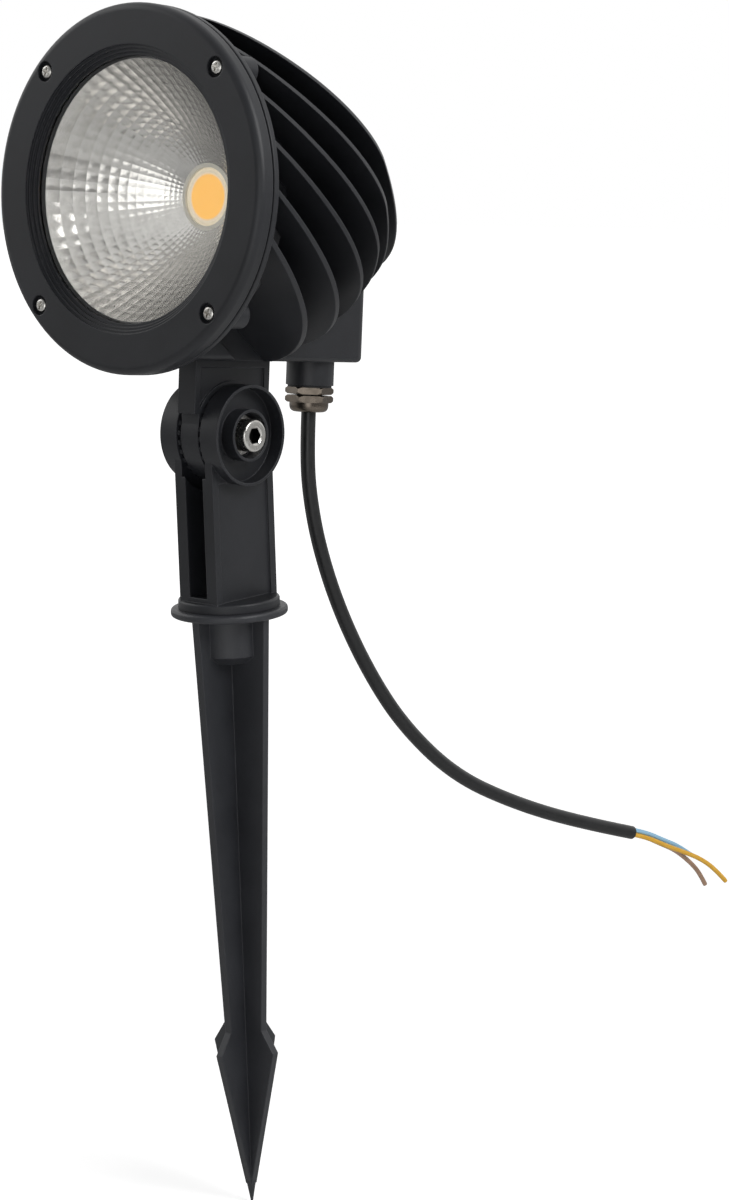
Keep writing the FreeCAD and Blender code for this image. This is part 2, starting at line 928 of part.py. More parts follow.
def teeth(face_x, direction):
    """A ring of radial teeth that stand on a face square to the hinge pin."""
    length = tooth_outer_radius - tooth_inner_radius
    sunk = tooth_height / 2
    low = min(face_x - direction * sunk, face_x + direction * tooth_height)
    ridges = []
    for step in range(tooth_count):
        ridge = bar(
            (low, tooth_inner_radius, -tooth_width / 2),
            (low + sunk + tooth_height, tooth_inner_radius + length, tooth_width / 2),
        )
        ridge.rotate(ORIGIN, X_AXIS, 360.0 * (step + 0.5) / tooth_count)
        ridges.append(ridge)
    return ridges


def tilt_bracket():
    """Flat tongue under the block, in coordinates centred on the hinge pin."""
    t = bracket_half_thickness
    w = bracket_half_width
    top = pin_below_axis - block_bottom
    neck = bar((-t, -w, bracket_shoulder), (t, w, top))
    disc = rod(bracket_disc_radius, V(-t, 0, 0), V(t, 0, 0))
    # The cheeks close the corners between the straight sides and the disc.
    cheek = bracket_disc_radius * bracket_cheek_share
    cheeks = bar((-t, -cheek, 0), (t, cheek, bracket_shoulder))
    body = fused([neck, disc, cheeks] + teeth(t, 1) + teeth(-t, -1))
    panels = []
    clear_of_ear = ear_radius + 1.0
    for side in (-1, 1):
        outer = side * (t + 1)
        inner = side * (t - bracket_panel_depth)
        panel = bar(
            (min(outer, inner), -w + bracket_panel_margin, bracket_shoulder),
            (max(outer, inner), w - bracket_panel_margin, top - bracket_panel_margin),
        )
        panels.append(panel.cut(rod(clear_of_ear, V(-reach, 0, 0), V(reach, 0, 0))))
    cuts = panels + [rod(pin_radius + running_gap, V(-t - 1, 0, 0), V(t + 1, 0, 0))]
    for side in (-1, 1):
        y = side * bracket_screw_spacing / 2
        end = V(0, y, top - bracket_screw_grip - slip_gap)
        cuts.append(rod(bracket_screw_radius + thread_gap, V(0, y, top), end))
    body = body.cut(Part.makeCompound(cuts))
    body.translate(V(0, pin_behind_bezel, -pin_below_axis))
    return body


def bracket_screws():
    screws = []
    for side in (-1, 1):
        y = pin_behind_bezel + side * bracket_screw_spacing / 2
        seat = V(0, y, cavity_floor)
        shank = rod(bracket_screw_radius, V(0, y, -block_bottom - bracket_screw_grip), seat)
        top = cavity_floor + bracket_screw_head_height
        cap = rod(bracket_screw_head_radius, seat, V(0, y, top))
        across = bracket_screw_radius * socket_share
        socket = hexagon(across, top - bracket_screw_head_height / 2, top + 1, Z_AXIS)
        socket.translate(V(0, y, 0))
        screws.append(shank.fuse(cap).removeSplitter().cut(socket))
    return screws


def pivot_bolt():
    """Socket-head hinge pin: the head lies in the near cup and the shank passes through both ears."""
    end = -(cup_floor + pin_washer_thickness + nut_thickness + pin_end_spare)
    shank = rod(pin_radius, V(end, 0, 0), V(pin_head_seat, 0, 0))
    cap = rod(pin_head_radius, V(pin_head_seat, 0, 0), V(pin_head_seat + pin_head_height, 0, 0))
    top = pin_head_seat + pin_head_height
    rim = [edge for edge in cap.Edges if edge.BoundBox.XMin > top - 0.01]
    cap = cap.makeFillet(pin_head_round, rim)
    socket = hexagon(pin_socket_across, top - pin_socket_depth, top + 1, X_AXIS)
    return at_pin(shank.fuse(cap).removeSplitter().cut(socket))


def pivot_nut():
    near = -(cup_floor + pin_washer_thickness)
    body = hexagon(nut_across, near - nut_thickness, near, X_AXIS)
    hole = rod(pin_radius + thread_gap, V(near - nut_thickness - 1, 0, 0), V(near + 1, 0, 0))
    return at_pin(body.cut(hole))


def pivot_washers():
    washers = []
    for side in (-1, 1):
        inner = V(side * cup_floor, 0, 0)
        outer = V(side * (cup_floor + pin_washer_thickness), 0, 0)
        hole = rod(pin_radius + slip_gap, inner, outer)
        washers.append(at_pin(rod(pin_washer_radius, inner, outer).cut(hole)))
    return washers


def at_pin(shape):
    moved = shape.copy()
    moved.translate(V(0, 0, pin_height))
    return moved


# ---- post ----------------------------------------------------------------------------------------

def cup_space(side):
    """The hollow that opens outwards in an ear."""
    return rod(ear_radius - cup_wall, V(side * cup_floor, 0, 0), V(side * (ear_outer + 1), 0, 0))


def ear(side):
    """Toothed disc with an outward cup and a ring round the bolt's head or nut."""
    inner = V(side * ear_inner, 0, 0)
    floor = V(side * cup_floor, 0, 0)
    outer = V(side * ear_outer, 0, 0)
    disc = rod(ear_radius, inner, outer).cut(cup_space(side))
    ring = rod(inner_ring_radius, floor, outer)
    ring = ring.cut(rod(inner_ring_radius - inner_ring_wall, floor, outer))
    return [disc, ring] + teeth(side * ear_inner, -side)


def fork_post():
    """Post with a front channel and side panels, split at its top into two ears."""
    w = post_half_width
    d = post_half_depth
    trunk = bar((-w, -d, foot_bottom - pin_height), (w, d, 0))
    slot = rod(post_slot_radius, V(-ear_inner, 0, 0), V(ear_inner, 0, 0))
    slot_above = bar((-ear_inner, -d - 1, -post_slot_radius * 0.5), (ear_inner, d + 1, post_slot_radius))
    channel = bar(
        (-post_channel_half_width, -d - 1, channel_floor - pin_height),
        (post_channel_half_width, -d + post_channel_depth, -post_slot_radius * 0.5),
    )
    trunk = trunk.cut(Part.makeCompound([slot, slot_above] + [cup_space(side) for side in (-1, 1)]))
    trunk = trunk.cut(channel)
    for side in (-1, 1):
        outer = side * (w + 1)
        inner = side * (w - post_panel_depth)
        panel = bar(
            (min(outer, inner), -d + post_panel_margin, foot_top - pin_height),
            (max(outer, inner), d - post_panel_margin, -ear_radius * 0.9),
        )
        trunk = trunk.cut(panel)
    low = foot_bottom - pin_height
    high = foot_top - pin_height
    profile = [(0, low), (foot_radius, low), (foot_radius, high), (0, high)]
    foot = turned(profile, [0, 0, foot_round, 0], axis=Z_AXIS)
    body = fused([trunk, foot] + ear(-1) + ear(1))
    cuts = [rod(pin_radius + running_gap, V(-ear_outer, 0, 0), V(ear_outer, 0, 0))]
    cuts.append(rod(
        swivel_screw_radius + running_gap,
        V(0, 0, foot_bottom - pin_height - 1),
        V(0, 0, channel_floor - pin_height + 1),
    ))
    return at_pin(body.cut(Part.makeCompound(cuts)))


# ---- ground spike --------------------------------------------------------------------------------

def ground_spike():
    """Collar, socket boss and two crossed blades that narrow to a neck, a barb and a point."""
    blade_end = spike_length - spike_point_length
    end_half = blade_thickness / 2
    half_outline = [
        (spike_top_half_width, 0),
        (spike_neck_half_width, -spike_neck_depth),
        (barb_half_width, -barb_depth),
        (end_half, -blade_end),
    ]
    right = [V(u, -blade_thickness / 2, z) for u, z in half_outline]
    left = [V(-u, -blade_thickness / 2, z) for u, z in reversed(half_outline)]
    outline = Part.makePolygon(right + left + [right[0]])
    blade = Part.Face(outline).extrude(V(0, blade_thickness, 0))
    crossed = blade.copy()
    crossed.rotate(ORIGIN, Z_AXIS, 90)
    collar = turned(
        [(0, 0), (collar_radius, 0), (collar_radius, collar_thickness), (0, collar_thickness)],
        [0, collar_round, collar_round, 0],
        axis=Z_AXIS,
    )
    boss = rod(spike_boss_radius, V(0, 0, -spike_boss_length), V(0, 0, collar_thickness / 2))
    taper_end = V(0, 0, -spike_boss_length - spike_boss_taper)
    taper = Part.makeCone(spike_boss_end_radius, spike_boss_radius, spike_boss_taper, taper_end, Z_AXIS)
    tip = V(0, 0, -spike_length)
    point = Part.makeCone(spike_point_radius, spike_point_root, spike_point_length + 1.0, tip, Z_AXIS)
    body = fused([collar, blade, crossed, boss, taper, point])
    pocket = rod(insert_radius, V(0, 0, collar_thickness - insert_length), V(0, 0, collar_thickness))
    return body.cut(pocket)


def threaded_insert():
    """Brass insert pressed into the spike's boss for the swivel screw."""
    top = V(0, 0, collar_thickness)
    low = V(0, 0, collar_thickness - insert_length)
    return rod(insert_radius, low, top).cut(rod(swivel_screw_radius + thread_gap, low, top))


def swivel_screw():
    seat = channel_floor + swivel_washer_thickness
    low = collar_thickness - swivel_screw_grip
    shank = rod(swivel_screw_radius, V(0, 0, low), V(0, 0, seat))
    cap = rod(swivel_screw_head_radius, V(0, 0, seat), V(0, 0, seat + swivel_screw_head_height))
    top = seat + swivel_screw_head_height
    across = swivel_screw_radius * socket_share
    socket = hexagon(across, top - swivel_screw_head_height / 2, top + 1, Z_AXIS)
    return shank.fuse(cap).removeSplitter().cut(socket)


def swivel_washer():
    low = V(0, 0, channel_floor)
    high = V(0, 0, channel_floor + swivel_washer_thickness)
    return rod(swivel_screw_head_radius, low, high).cut(rod(swivel_screw_radius + slip_gap, low, high))


# ---- gland and lead ------------------------------------------------------------------------------

def gland_levels():
    """Heights below the beam's axis of the gland's joints, from the boss's mouth to the cable's exit."""
    mouth = -block_bottom - gland_boss_length
    body_top = mouth - gland_ring_thickness
    body_low = body_top - gland_hex_thickness
    nut_low = body_low - gland_nut_hex_thickness
    return mouth, body_top, body_low, nut_low, nut_low - gland_dome_height


def at_gland(shape):
    moved = shape.copy()
    moved.translate(V(0, gland_distance, 0))
    return moved


def gland_ring():
    """Thin sealing ring between the boss and the gland's hexagon."""
    mouth, body_top, _, _, _ = gland_levels()
    ring = rod(gland_boss_radius - gland_ring_inset, V(0, 0, body_top), V(0, 0, mouth))
    return at_gland(ring.cut(rod(gland_thread_radius + slip_gap, V(0, 0, body_top), V(0, 0, mouth))))


def gland_body():
    """Hexagon with a threaded spigot up into the boss, and a second thread down inside the nut."""
    mouth, body_top, body_low, nut_low, _ = gland_levels()
    spigot = rod(gland_thread_radius, V(0, 0, body_low), V(0, 0, mouth + gland_thread_length))
    tail = rod(gland_thread_radius - gland_nut_thread_step, V(0, 0, nut_low), V(0, 0, body_low))
    shell = fused([hexagon(gland_across, body_low, body_top, Z_AXIS), spigot, tail])
    bore = rod(gland_bore_radius, V(0, 0, nut_low - 1), V(0, 0, mouth + gland_thread_length + 1))
    return at_gland(shell.cut(bore))


def gland_nut():
    """Hexagon nut with a rounded dome that closes on the cable."""
    _, _, body_low, nut_low, exit_z = gland_levels()
    hexa = hexagon(gland_across, nut_low, body_low, Z_AXIS)
    hexa.rotate(ORIGIN, Z_AXIS, gland_nut_turn_deg)
    cap = turned(
        [(0, exit_z), (gland_dome_radius, exit_z), (gland_dome_radius, body_low), (0, body_low)],
        [0, gland_dome_round, 0, 0],
        axis=Z_AXIS,
    )
    shell = fused([hexa, cap])
    thread_radius = gland_thread_radius - gland_nut_thread_step + thread_gap
    thread = rod(thread_radius, V(0, 0, nut_low), V(0, 0, body_low))
    hole = rod(jacket_radius + running_gap, V(0, 0, exit_z), V(0, 0, body_low))
    return at_gland(shell.cut(Part.makeCompound([thread, hole])))


def gland_seal():
    """Rubber sleeve that the nut squeezes onto the cable."""
    nut_low = gland_levels()[3]
    low = V(0, 0, nut_low)
    high = V(0, 0, nut_low + gland_seal_length)
    return at_gland(rod(gland_seal_radius, low, high).cut(rod(jacket_radius + thread_gap, low, high)))


def cord_entry():
    """The stretch of the lead that is held inside the gland and ends in the block."""
    exit_z = gland_levels()[4]
    return at_gland(rod(jacket_radius, V(0, 0, exit_z), V(0, 0, exit_z + entry_length)))


def lead_point(out, height, sideways=0.0):
    """A point of the lead's route in the part's frame."""
    turn = math.radians(lead_plane_deg)
    foot = in_head(V(0, gland_distance, -gland_exit))
    x = out * math.cos(turn) + sideways * math.sin(turn)
    y = foot.y + out * math.sin(turn) - sideways * math.cos(turn)
    return V(x, y, height)


def lead_points():
    """The exit, then the route. The first run leaves along the gland's own axis."""
    exit_point = in_head(V(0, gland_distance, -gland_exit))
    ahead = in_head(V(0, gland_distance, -gland_exit - 1)) - exit_point
    first_height = lead_route[0][1]
    first = exit_point + ahead * ((exit_point.z - first_height) / -ahead.z)
    return [exit_point, first] + [lead_point(out, height) for out, height in lead_route[1:]]


def describe(name, path, radii, radius):
    """Print a tube's length, arc radii and how its volume compares with its section times its length."""
    solid = tube(path, radius)
    share = solid.Volume / (math.pi * radius ** 2 * path.Length)
    print(name, "length", round(path.Length, 1), "volume share", round(share, 4))
    print(name, "arc radii", [round(arc) for arc in radii])
    return solid


def cord_jacket():
    path, radii = smooth_path(lead_points())
    return describe("cord_jacket", path, radii, jacket_radius)


def core_tubes():
    """The three cores start side by side at the jacket's cut end, square to it, and then part."""
    points = lead_points()
    end = points[-1]
    ahead = (points[-1] - points[-2]).normalize()
    turn = math.radians(lead_plane_deg)
    out_way = V(math.cos(turn), math.sin(turn), 0)
    side = V(math.sin(turn), -math.cos(turn), 0)
    up = side.cross(ahead)
    spread = 2 * (core_radius + core_gap) / math.sqrt(3)
    tubes = {}
    for name, route in core_routes.items():
        rise, across = core_places[name]
        start = end + up * (rise * spread) + side * (across * spread)
        path_points = [start, start + ahead * core_straight]
        for out, height, sideways in route:
            path_points.append(end + out_way * out + side * sideways + V(0, 0, height))
        path, radii = smooth_path(path_points)
        tubes[name] = describe(name, path, radii, core_radius)
    return tubes


# ---- write every piece ---------------------------------------------------------------------------

os.makedirs("parts", exist_ok=True)

save("bezel_ring", head(bezel_ring()))
save("bezel_screws", [head(screw) for screw in bezel_screws()])
save("front_gasket", head(front_gasket()))
save("glass_lens", head(glass_lens()))
save("reflector", head(reflector()))
save("housing", head(housing()))
save("cooling_fins", [head(fin) for fin in cooling_fins()])
save("fin_web", head(fin_web()))
save("thermal_pad", head(thermal_pad()))
save("source_plate", head(source_plate()))
save("source_phosphor", head(source_phosphor()))
save("source_holder", head(source_holder()))
save("holder_screws", [head(screw) for screw in holder_screws()])
save("driver_board", head(driver_board()))
save("driver_screws", [head(screw) for screw in driver_screws()])
save("driver_transformer", head(driver_transformer()))
save("driver_capacitors", [head(piece) for piece in driver_capacitors()])
save("terminal_strip", head(terminal_strip()))
save("supply_leads", [head(lead) for lead in supply_leads()])
save("led_leads", [head(lead) for lead in led_leads()])
save("tilt_bracket", head(tilt_bracket()))
save("bracket_screws", [head(screw) for screw in bracket_screws()])
save("gland_ring", head(gland_ring()))
save("gland_body", head(gland_body()))
save("gland_nut", head(gland_nut()))
save("gland_seal", head(gland_seal()))
save("cord_entry", head(cord_entry()))
save("pivot_bolt", pivot_bolt())
save("pivot_nut", pivot_nut())
save("pivot_washers", pivot_washers())
save("fork_post", fork_post())
save("ground_spike", ground_spike())
save("threaded_insert", threaded_insert())
save("swivel_screw", swivel_screw())
save("swivel_washer", swivel_washer())
save("cord_jacket", cord_jacket())
for core_name, core_solid in core_tubes().items():
    save(core_name, core_solid)
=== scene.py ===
"""Garden spike spotlight: pieces, finishes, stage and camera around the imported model."""

import math

import bmesh
import bpy
import numpy as np
from bpy.props import FloatProperty, FloatVectorProperty, IntProperty, PointerProperty
from mathutils import Matrix, Vector


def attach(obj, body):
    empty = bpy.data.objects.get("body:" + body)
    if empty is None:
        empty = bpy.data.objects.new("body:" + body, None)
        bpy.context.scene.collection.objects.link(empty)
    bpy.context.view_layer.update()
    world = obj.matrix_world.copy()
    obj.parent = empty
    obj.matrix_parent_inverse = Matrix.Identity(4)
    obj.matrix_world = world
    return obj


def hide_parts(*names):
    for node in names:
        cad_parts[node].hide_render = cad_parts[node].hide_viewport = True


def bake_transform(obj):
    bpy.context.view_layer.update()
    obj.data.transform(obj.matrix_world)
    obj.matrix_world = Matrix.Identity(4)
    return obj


bl_info = {
    "name": "Garden spike spotlight",
    "version": (1, 0, 0),
    "blender": (4, 5, 0),
    "location": "3D View > Sidebar > Spotlight",
    "description": "Dresses the packed spotlight with detailed pieces and procedural finishes",
    "category": "Object",
}

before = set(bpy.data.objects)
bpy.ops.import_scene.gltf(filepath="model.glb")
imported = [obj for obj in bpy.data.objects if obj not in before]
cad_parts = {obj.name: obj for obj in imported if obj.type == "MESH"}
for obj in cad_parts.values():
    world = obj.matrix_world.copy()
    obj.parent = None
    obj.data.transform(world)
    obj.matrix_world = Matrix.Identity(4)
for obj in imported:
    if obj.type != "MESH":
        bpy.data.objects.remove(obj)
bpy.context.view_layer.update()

MM = 0.001

# Where the head sits: it is drawn level as lamp coordinates, then tilted about the hinge pin.
HEAD_TILT = math.radians(6.0)
PIN_HEIGHT = 74.3 * MM
PIN_BEHIND_BEZEL = 60.0 * MM
PIN_BELOW_AXIS = 93.6 * MM

# The cable gland, below the beam's axis.
GLAND_DISTANCE = 112.3 * MM
BOSS_MOUTH = -74.0 * MM
GLAND_RING_THICKNESS = 0.8 * MM
GLAND_HEX_THICKNESS = 3.2 * MM
GLAND_DOME_HEIGHT = 4.0 * MM
GLAND_TURN = math.radians(-18.6)
GLAND_SLIP = math.radians(4.0)
GLAND_EXIT = BOSS_MOUTH - GLAND_RING_THICKNESS - 2 * GLAND_HEX_THICKNESS - GLAND_DOME_HEIGHT

# The hinge bolt, along X from the middle of the hinge.
BOLT_END = -17.65 * MM
BOLT_SEAT = 9.95 * MM
BOLT_TOP = 17.95 * MM

BOLT_BODY = "fork"

# The pale backdrop stands this way from the object, and the room behind the camera is darker.
BACKDROP_WAY = (-0.63, 0.77, 0.1)

# The photograph's camera: azimuth, elevation and roll in degrees, millimetres of lens, shift and place.
CAMERA_ANGLES = (39.476, 12.266, -1.401)
CAMERA_LENS = 82.21
CAMERA_SHIFT = (-0.0335, 0.0570)
CAMERA_PLACE = (0.7562, -0.8061, 0.2150)

# The lights, as (name, place, aim, size across).
LIGHTS = (
    ("key_light", (1.25, 0.1, 0.95), (0.0, 0.0, 0.05), 0.9),
    ("fill_light", (-1.1, -0.5, 0.8), (0.0, 0.0, 0.1), 0.9),
    ("window_light", (0.79, -1.216, 0.15), (0.0, 0.0, 0.17), 1.1),
)

# The floor, and how far from the object its glow starts and ends its rise.
FLOOR_HALF_WIDTH = 6.0
GLOW_REACH = (0.55, 1.5)

# The light source's front plate, behind the bezel's front.
SOURCE_FACE = 48.0 * MM

# The lead's plane stands upright through the gland, turned this far from +X towards +Y.
LEAD_PLANE = math.radians(72.0)
LEAD_OUT = np.array([math.cos(LEAD_PLANE), math.sin(LEAD_PLANE), 0.0])
LEAD_SIDE = np.array([math.sin(LEAD_PLANE), -math.cos(LEAD_PLANE), 0.0])
LEAD_UP = np.array([0.0, 0.0, 1.0])

# The lead's route beyond the gland, as (distance out, height).
LEAD_ROUTE = MM * np.array([
    (-1.2, 62.0),
    (-1.0, 43.5),
    (3.0, 19.5),
    (12.2, -9.0),
    (26.0, -38.0),
    (43.2, -64.6),
    (69.4, -91.0),
    (102.3, -109.4),
    (137.7, -124.2),
    (168.6, -134.6),
])

# Each core's route from the jacket's cut end, as (distance out, height, sideways).
CORE_ROUTES = {
    "core_yellow_green": [
        (18.5, -9.2, 2.6), (28.5, -13.8, 2.8), (38.5, -18.9, 3.0), (47.0, -25.6, 3.3), (53.0, -32.4, 3.6),
    ],
    "core_blue": [(18.0, -6.6, -0.2), (28.0, -11.6, -0.6), (36.0, -17.6, -0.8)],
    "core_brown": [
        (18.5, -9.2, -2.6), (27.5, -13.8, -3.4), (36.5, -21.2, -3.4), (42.5, -27.9, -3.2),
        (45.8, -34.4, -3.0),
    ],
}

# Where each core lies in the jacket, as (up, sideways) on a circle of radius 1.
CORE_PLACES = {
    "core_yellow_green": (-0.5, 0.866),
    "core_blue": (1.0, 0.0),
    "core_brown": (-0.5, -0.866),
}
CORE_STRAIGHT = 8.0 * MM


# ---- geometry helpers ------------------------------------------------------------------------------

def lamp(points):
    """Lamp coordinates (across, back from the bezel's front, above the beam) turned onto the tilted pin."""
    points = np.asarray(points, float)
    back = points[..., 1] - PIN_BEHIND_BEZEL
    up = points[..., 2] + PIN_BELOW_AXIS
    y = back * math.cos(HEAD_TILT) + up * math.sin(HEAD_TILT)
    z = PIN_HEIGHT - back * math.sin(HEAD_TILT) + up * math.cos(HEAD_TILT)
    return np.stack([points[..., 0], y, z], axis=-1)


def unit(vectors):
    """Vectors divided by their own lengths."""
    return vectors / np.linalg.norm(vectors, axis=-1, keepdims=True)


def grid_mesh(name, points, wrap_columns=True, wrap_rows=False, sharp_deg=35.0):
    """A closed skin over a grid of points (rows, columns, xyz), one four-sided face for each cell."""
    rows, columns = points.shape[:2]
    index = np.arange(rows * columns).reshape(rows, columns)
    if wrap_columns:
        index = np.concatenate([index, index[:, :1]], axis=1)
    if wrap_rows:
        index = np.concatenate([index, index[:1]], axis=0)
    faces = np.stack([index[:-1, :-1], index[:-1, 1:], index[1:, 1:], index[1:, :-1]], axis=-1)
    mesh = bpy.data.meshes.new(name)
    mesh.from_pydata(points.reshape(-1, 3), [], faces.reshape(-1, 4).tolist())
    close_and_smooth(mesh, sharp_deg)
    return bpy.data.objects.new(name, mesh)


def close_and_smooth(mesh, sharp_deg):
    """Merge doubled points, face the skin outwards and shade it smooth up to an angle."""
    work = bmesh.new()
    work.from_mesh(mesh)
    bmesh.ops.remove_doubles(work, verts=work.verts, dist=0.004 * MM)
    bmesh.ops.recalc_face_normals(work, faces=work.faces)
    work.to_mesh(mesh)
    work.free()
    mesh.polygons.foreach_set("use_smooth", np.ones(len(mesh.polygons), bool))
    mesh.set_sharp_from_angle(angle=math.radians(sharp_deg))


def turned_grid(profile, columns=96):
    """A profile of (radius, distance) rows carried round Y: x = r cos a, y = distance, z = r sin a."""
    profile = np.asarray(profile, float)
    angle = np.linspace(0, 2 * math.pi, columns, endpoint=False)
    radius, along = profile[:, :1], profile[:, 1:]
    return np.stack([radius * np.cos(angle), along + 0 * angle, radius * np.sin(angle)], axis=-1)


def rounded_profile(corners, radii, steps=5):
    """A closed profile whose corners are replaced by arcs of the given radii, as quadratic curves."""
    corners = np.asarray(corners, float)
    before = unit(np.roll(corners, 1, axis=0) - corners)
    after = unit(np.roll(corners, -1, axis=0) - corners)
    reach = np.asarray(radii, float)[:, None]
    share = np.linspace(0, 1, steps)[:, None, None]
    start = corners + before * reach
    end = corners + after * reach
    curve = (1 - share) ** 2 * start + 2 * share * (1 - share) * corners + share ** 2 * end
    return curve.transpose(1, 0, 2).reshape(-1, 2)


def hexagon_radius(angle, flat):
    """Distance from a hexagon's middle to its edge: its half width across flats over the cosine in a side."""
    return flat / np.cos(np.mod(angle, math.pi / 3) - math.pi / 6)


def tube_grid(path, radius, sides=32):
    """Rings square to a path: path + radius (cos a * up + sin a * across); the callers close them with rings
    of no radius.
    """
    tangent = unit(np.gradient(path, axis=0))
    across = unit(LEAD_SIDE - (tangent @ LEAD_SIDE)[:, None] * tangent)
    up = np.cross(across, tangent)
    angle = np.linspace(0, 2 * math.pi, sides, endpoint=False)[None, :, None]
    ring = np.cos(angle) * up[:, None, :] + np.sin(angle) * across[:, None, :]
    return path[:, None, :] + np.asarray(radius)[:, None, None] * ring


def spline_path(name, points):
    """Points along a smooth spline that has the given points as its control points."""
    curve = bpy.data.curves.new(name + "_route", "CURVE")
    curve.dimensions = "3D"
    spline = curve.splines.new("NURBS")
    spline.points.add(len(points) - 1)
    spline.points.foreach_set("co", np.column_stack([points, np.ones(len(points))]).ravel())
    spline.order_u = 3
    spline.use_endpoint_u = True
    spline.resolution_u = 16
    holder = bpy.data.objects.new(name + "_route", curve)
    line = bpy.data.meshes.new_from_object(holder)
    path = np.empty(len(line.vertices) * 3)
    line.vertices.foreach_get("co", path)
    bpy.data.objects.remove(holder)
    bpy.data.curves.remove(curve)
    bpy.data.meshes.remove(line)
    return path.reshape(-1, 3)


def place(piece, body, material, replaced=()):
    """Put a new piece in the scene, on its body, with its finish, in place of its CAD nodes."""
    bpy.context.scene.collection.objects.link(piece)
    piece.data.materials.clear()
    piece.data.materials.append(material)
    if body is not None:
        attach(piece, body)
    if replaced:
        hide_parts(*replaced)
    return piece


def finish_node(node, material):
    """Give a CAD node that stays its material."""
    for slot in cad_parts[node].material_slots:
        slot.material = material


# ---- node groups and materials -----------------------------------------------------------------------

def new_group(name, inputs, outputs):
    """An empty shader group with its named inputs (name, kind, default) and outputs (name, kind)."""
    group = bpy.data.node_groups.new(name, "ShaderNodeTree")
    for label, kind, default in inputs:
        socket = group.interface.new_socket(label, in_out="INPUT", socket_type=kind)
        socket.default_value = default
    for label, kind in outputs:
        group.interface.new_socket(label, in_out="OUTPUT", socket_type=kind)
    return group, group.nodes.new("NodeGroupInput"), group.nodes.new("NodeGroupOutput")


def noise(tree, vector, scale, detail=2.0, roughness=0.5):
    node = tree.nodes.new("ShaderNodeTexNoise")
    node.inputs["Detail"].default_value = detail
    node.inputs["Roughness"].default_value = roughness
    tree.links.new(vector, node.inputs["Vector"])
    if isinstance(scale, (int, float)):
        node.inputs["Scale"].default_value = scale
    else:
        tree.links.new(scale, node.inputs["Scale"])
    return node.outputs["Fac"]


def mixed(tree, factor, low, high):
    """A colour between two, by a factor. Each of low and high is a socket or a colour."""
    node = tree.nodes.new("ShaderNodeMix")
    node.data_type = "RGBA"
    tree.links.new(factor, node.inputs["Factor"])
    for value, label in ((low, "A"), (high, "B")):
        socket = next(s for s in node.inputs if s.name == label and s.type == "RGBA")
        if isinstance(value, bpy.types.NodeSocket):
            tree.links.new(value, socket)
        else:
            socket.default_value = (*value, 1.0)
    return next(s for s in node.outputs if s.type == "RGBA")


def ranged(tree, value, low, high, to_low, to_high):
    """A value carried from one range to another, clamped. The target ends are sockets or numbers."""
    node = tree.nodes.new("ShaderNodeMapRange")
    tree.links.new(value, node.inputs["Value"])
    node.inputs["From Min"].default_value = low
    node.inputs["From Max"].default_value = high
    for target, label in ((to_low, "To Min"), (to_high, "To Max")):
        if isinstance(target, bpy.types.NodeSocket):
            tree.links.new(target, node.inputs[label])
        else:
            node.inputs[label].default_value = target
    return node.outputs["Result"]


def math_node(tree, operation, first, second):
    node = tree.nodes.new("ShaderNodeMath")
    node.operation = operation
    for value, socket in ((first, node.inputs[0]), (second, node.inputs[1])):
        if isinstance(value, bpy.types.NodeSocket):
            tree.links.new(value, socket)
        else:
            socket.default_value = value
    return node.outputs[0]


def bumped(tree, height, relief, base_normal):
    """A normal tilted by a height of relief metres in all, on a rounded base normal."""
    node = tree.nodes.new("ShaderNodeBump")
    tree.links.new(height, node.inputs["Height"])
    tree.links.new(base_normal, node.inputs["Normal"])
    node.inputs["Distance"].default_value = relief
    return node.outputs["Normal"]


def rounded_edges(tree, radius):
    """The normal of edges rounded to a radius, and a mask that is 1 where it leaves the face's own."""
    edge = tree.nodes.new("ShaderNodeBevel")
    edge.samples = 6
    edge.inputs["Radius"].default_value = radius
    own = tree.nodes.new("ShaderNodeNewGeometry")
    match = tree.nodes.new("ShaderNodeVectorMath")
    match.operation = "DOT_PRODUCT"
    tree.links.new(edge.outputs["Normal"], match.inputs[0])
    tree.links.new(own.outputs["Normal"], match.inputs[1])
    return edge.outputs["Normal"], ranged(tree, match.outputs["Value"], 0.99, 0.8, 0.0, 1.0)


def coat_grain_group():
    """Powder coat: fine pebbling, slow colour drift, specks and a painted highlight on edges, as Color,
    Roughness and Height.
    """
    group, given, result = new_group(
        "coat_grain",
        [
            ("Vector", "NodeSocketVector", (0, 0, 0)),
            ("Color", "NodeSocketColor", (0.02, 0.02, 0.02, 1)),
            ("Speck And Edge Highlight Color", "NodeSocketColor", (0.04, 0.04, 0.04, 1)),
            ("Roughness", "NodeSocketFloat", 0.5),
            ("Pebble Scale", "NodeSocketFloat", 900.0),
            ("Edge", "NodeSocketFloat", 0.0),
        ],
        [("Color", "NodeSocketColor"), ("Roughness", "NodeSocketFloat"), ("Height", "NodeSocketFloat")],
    )
    vector = given.outputs["Vector"]
    pebbles = noise(group, vector, given.outputs["Pebble Scale"], 3.0, 0.6)
    drift = noise(group, vector, 28.0, 4.0, 0.55)
    dust = noise(group, vector, 2600.0, 1.0, 0.5)
    speck = ranged(group, dust, 0.66, 0.74, 0.0, 0.55)
    cloud = ranged(group, drift, 0.35, 0.7, 0.0, 0.45)
    # The Edge mask paints a highlight: edges turn towards the lighter speck colour.
    amount = math_node(group, "ADD", math_node(group, "ADD", speck, cloud), given.outputs["Edge"])
    color = mixed(group, amount, given.outputs["Color"], given.outputs["Speck And Edge Highlight Color"])
    swing = ranged(group, drift, 0.3, 0.7, -0.05, 0.06)
    rough = math_node(group, "ADD", given.outputs["Roughness"], swing)
    group.links.new(color, result.inputs["Color"])
    group.links.new(rough, result.inputs["Roughness"])
    group.links.new(pebbles, result.inputs["Height"])
    return group


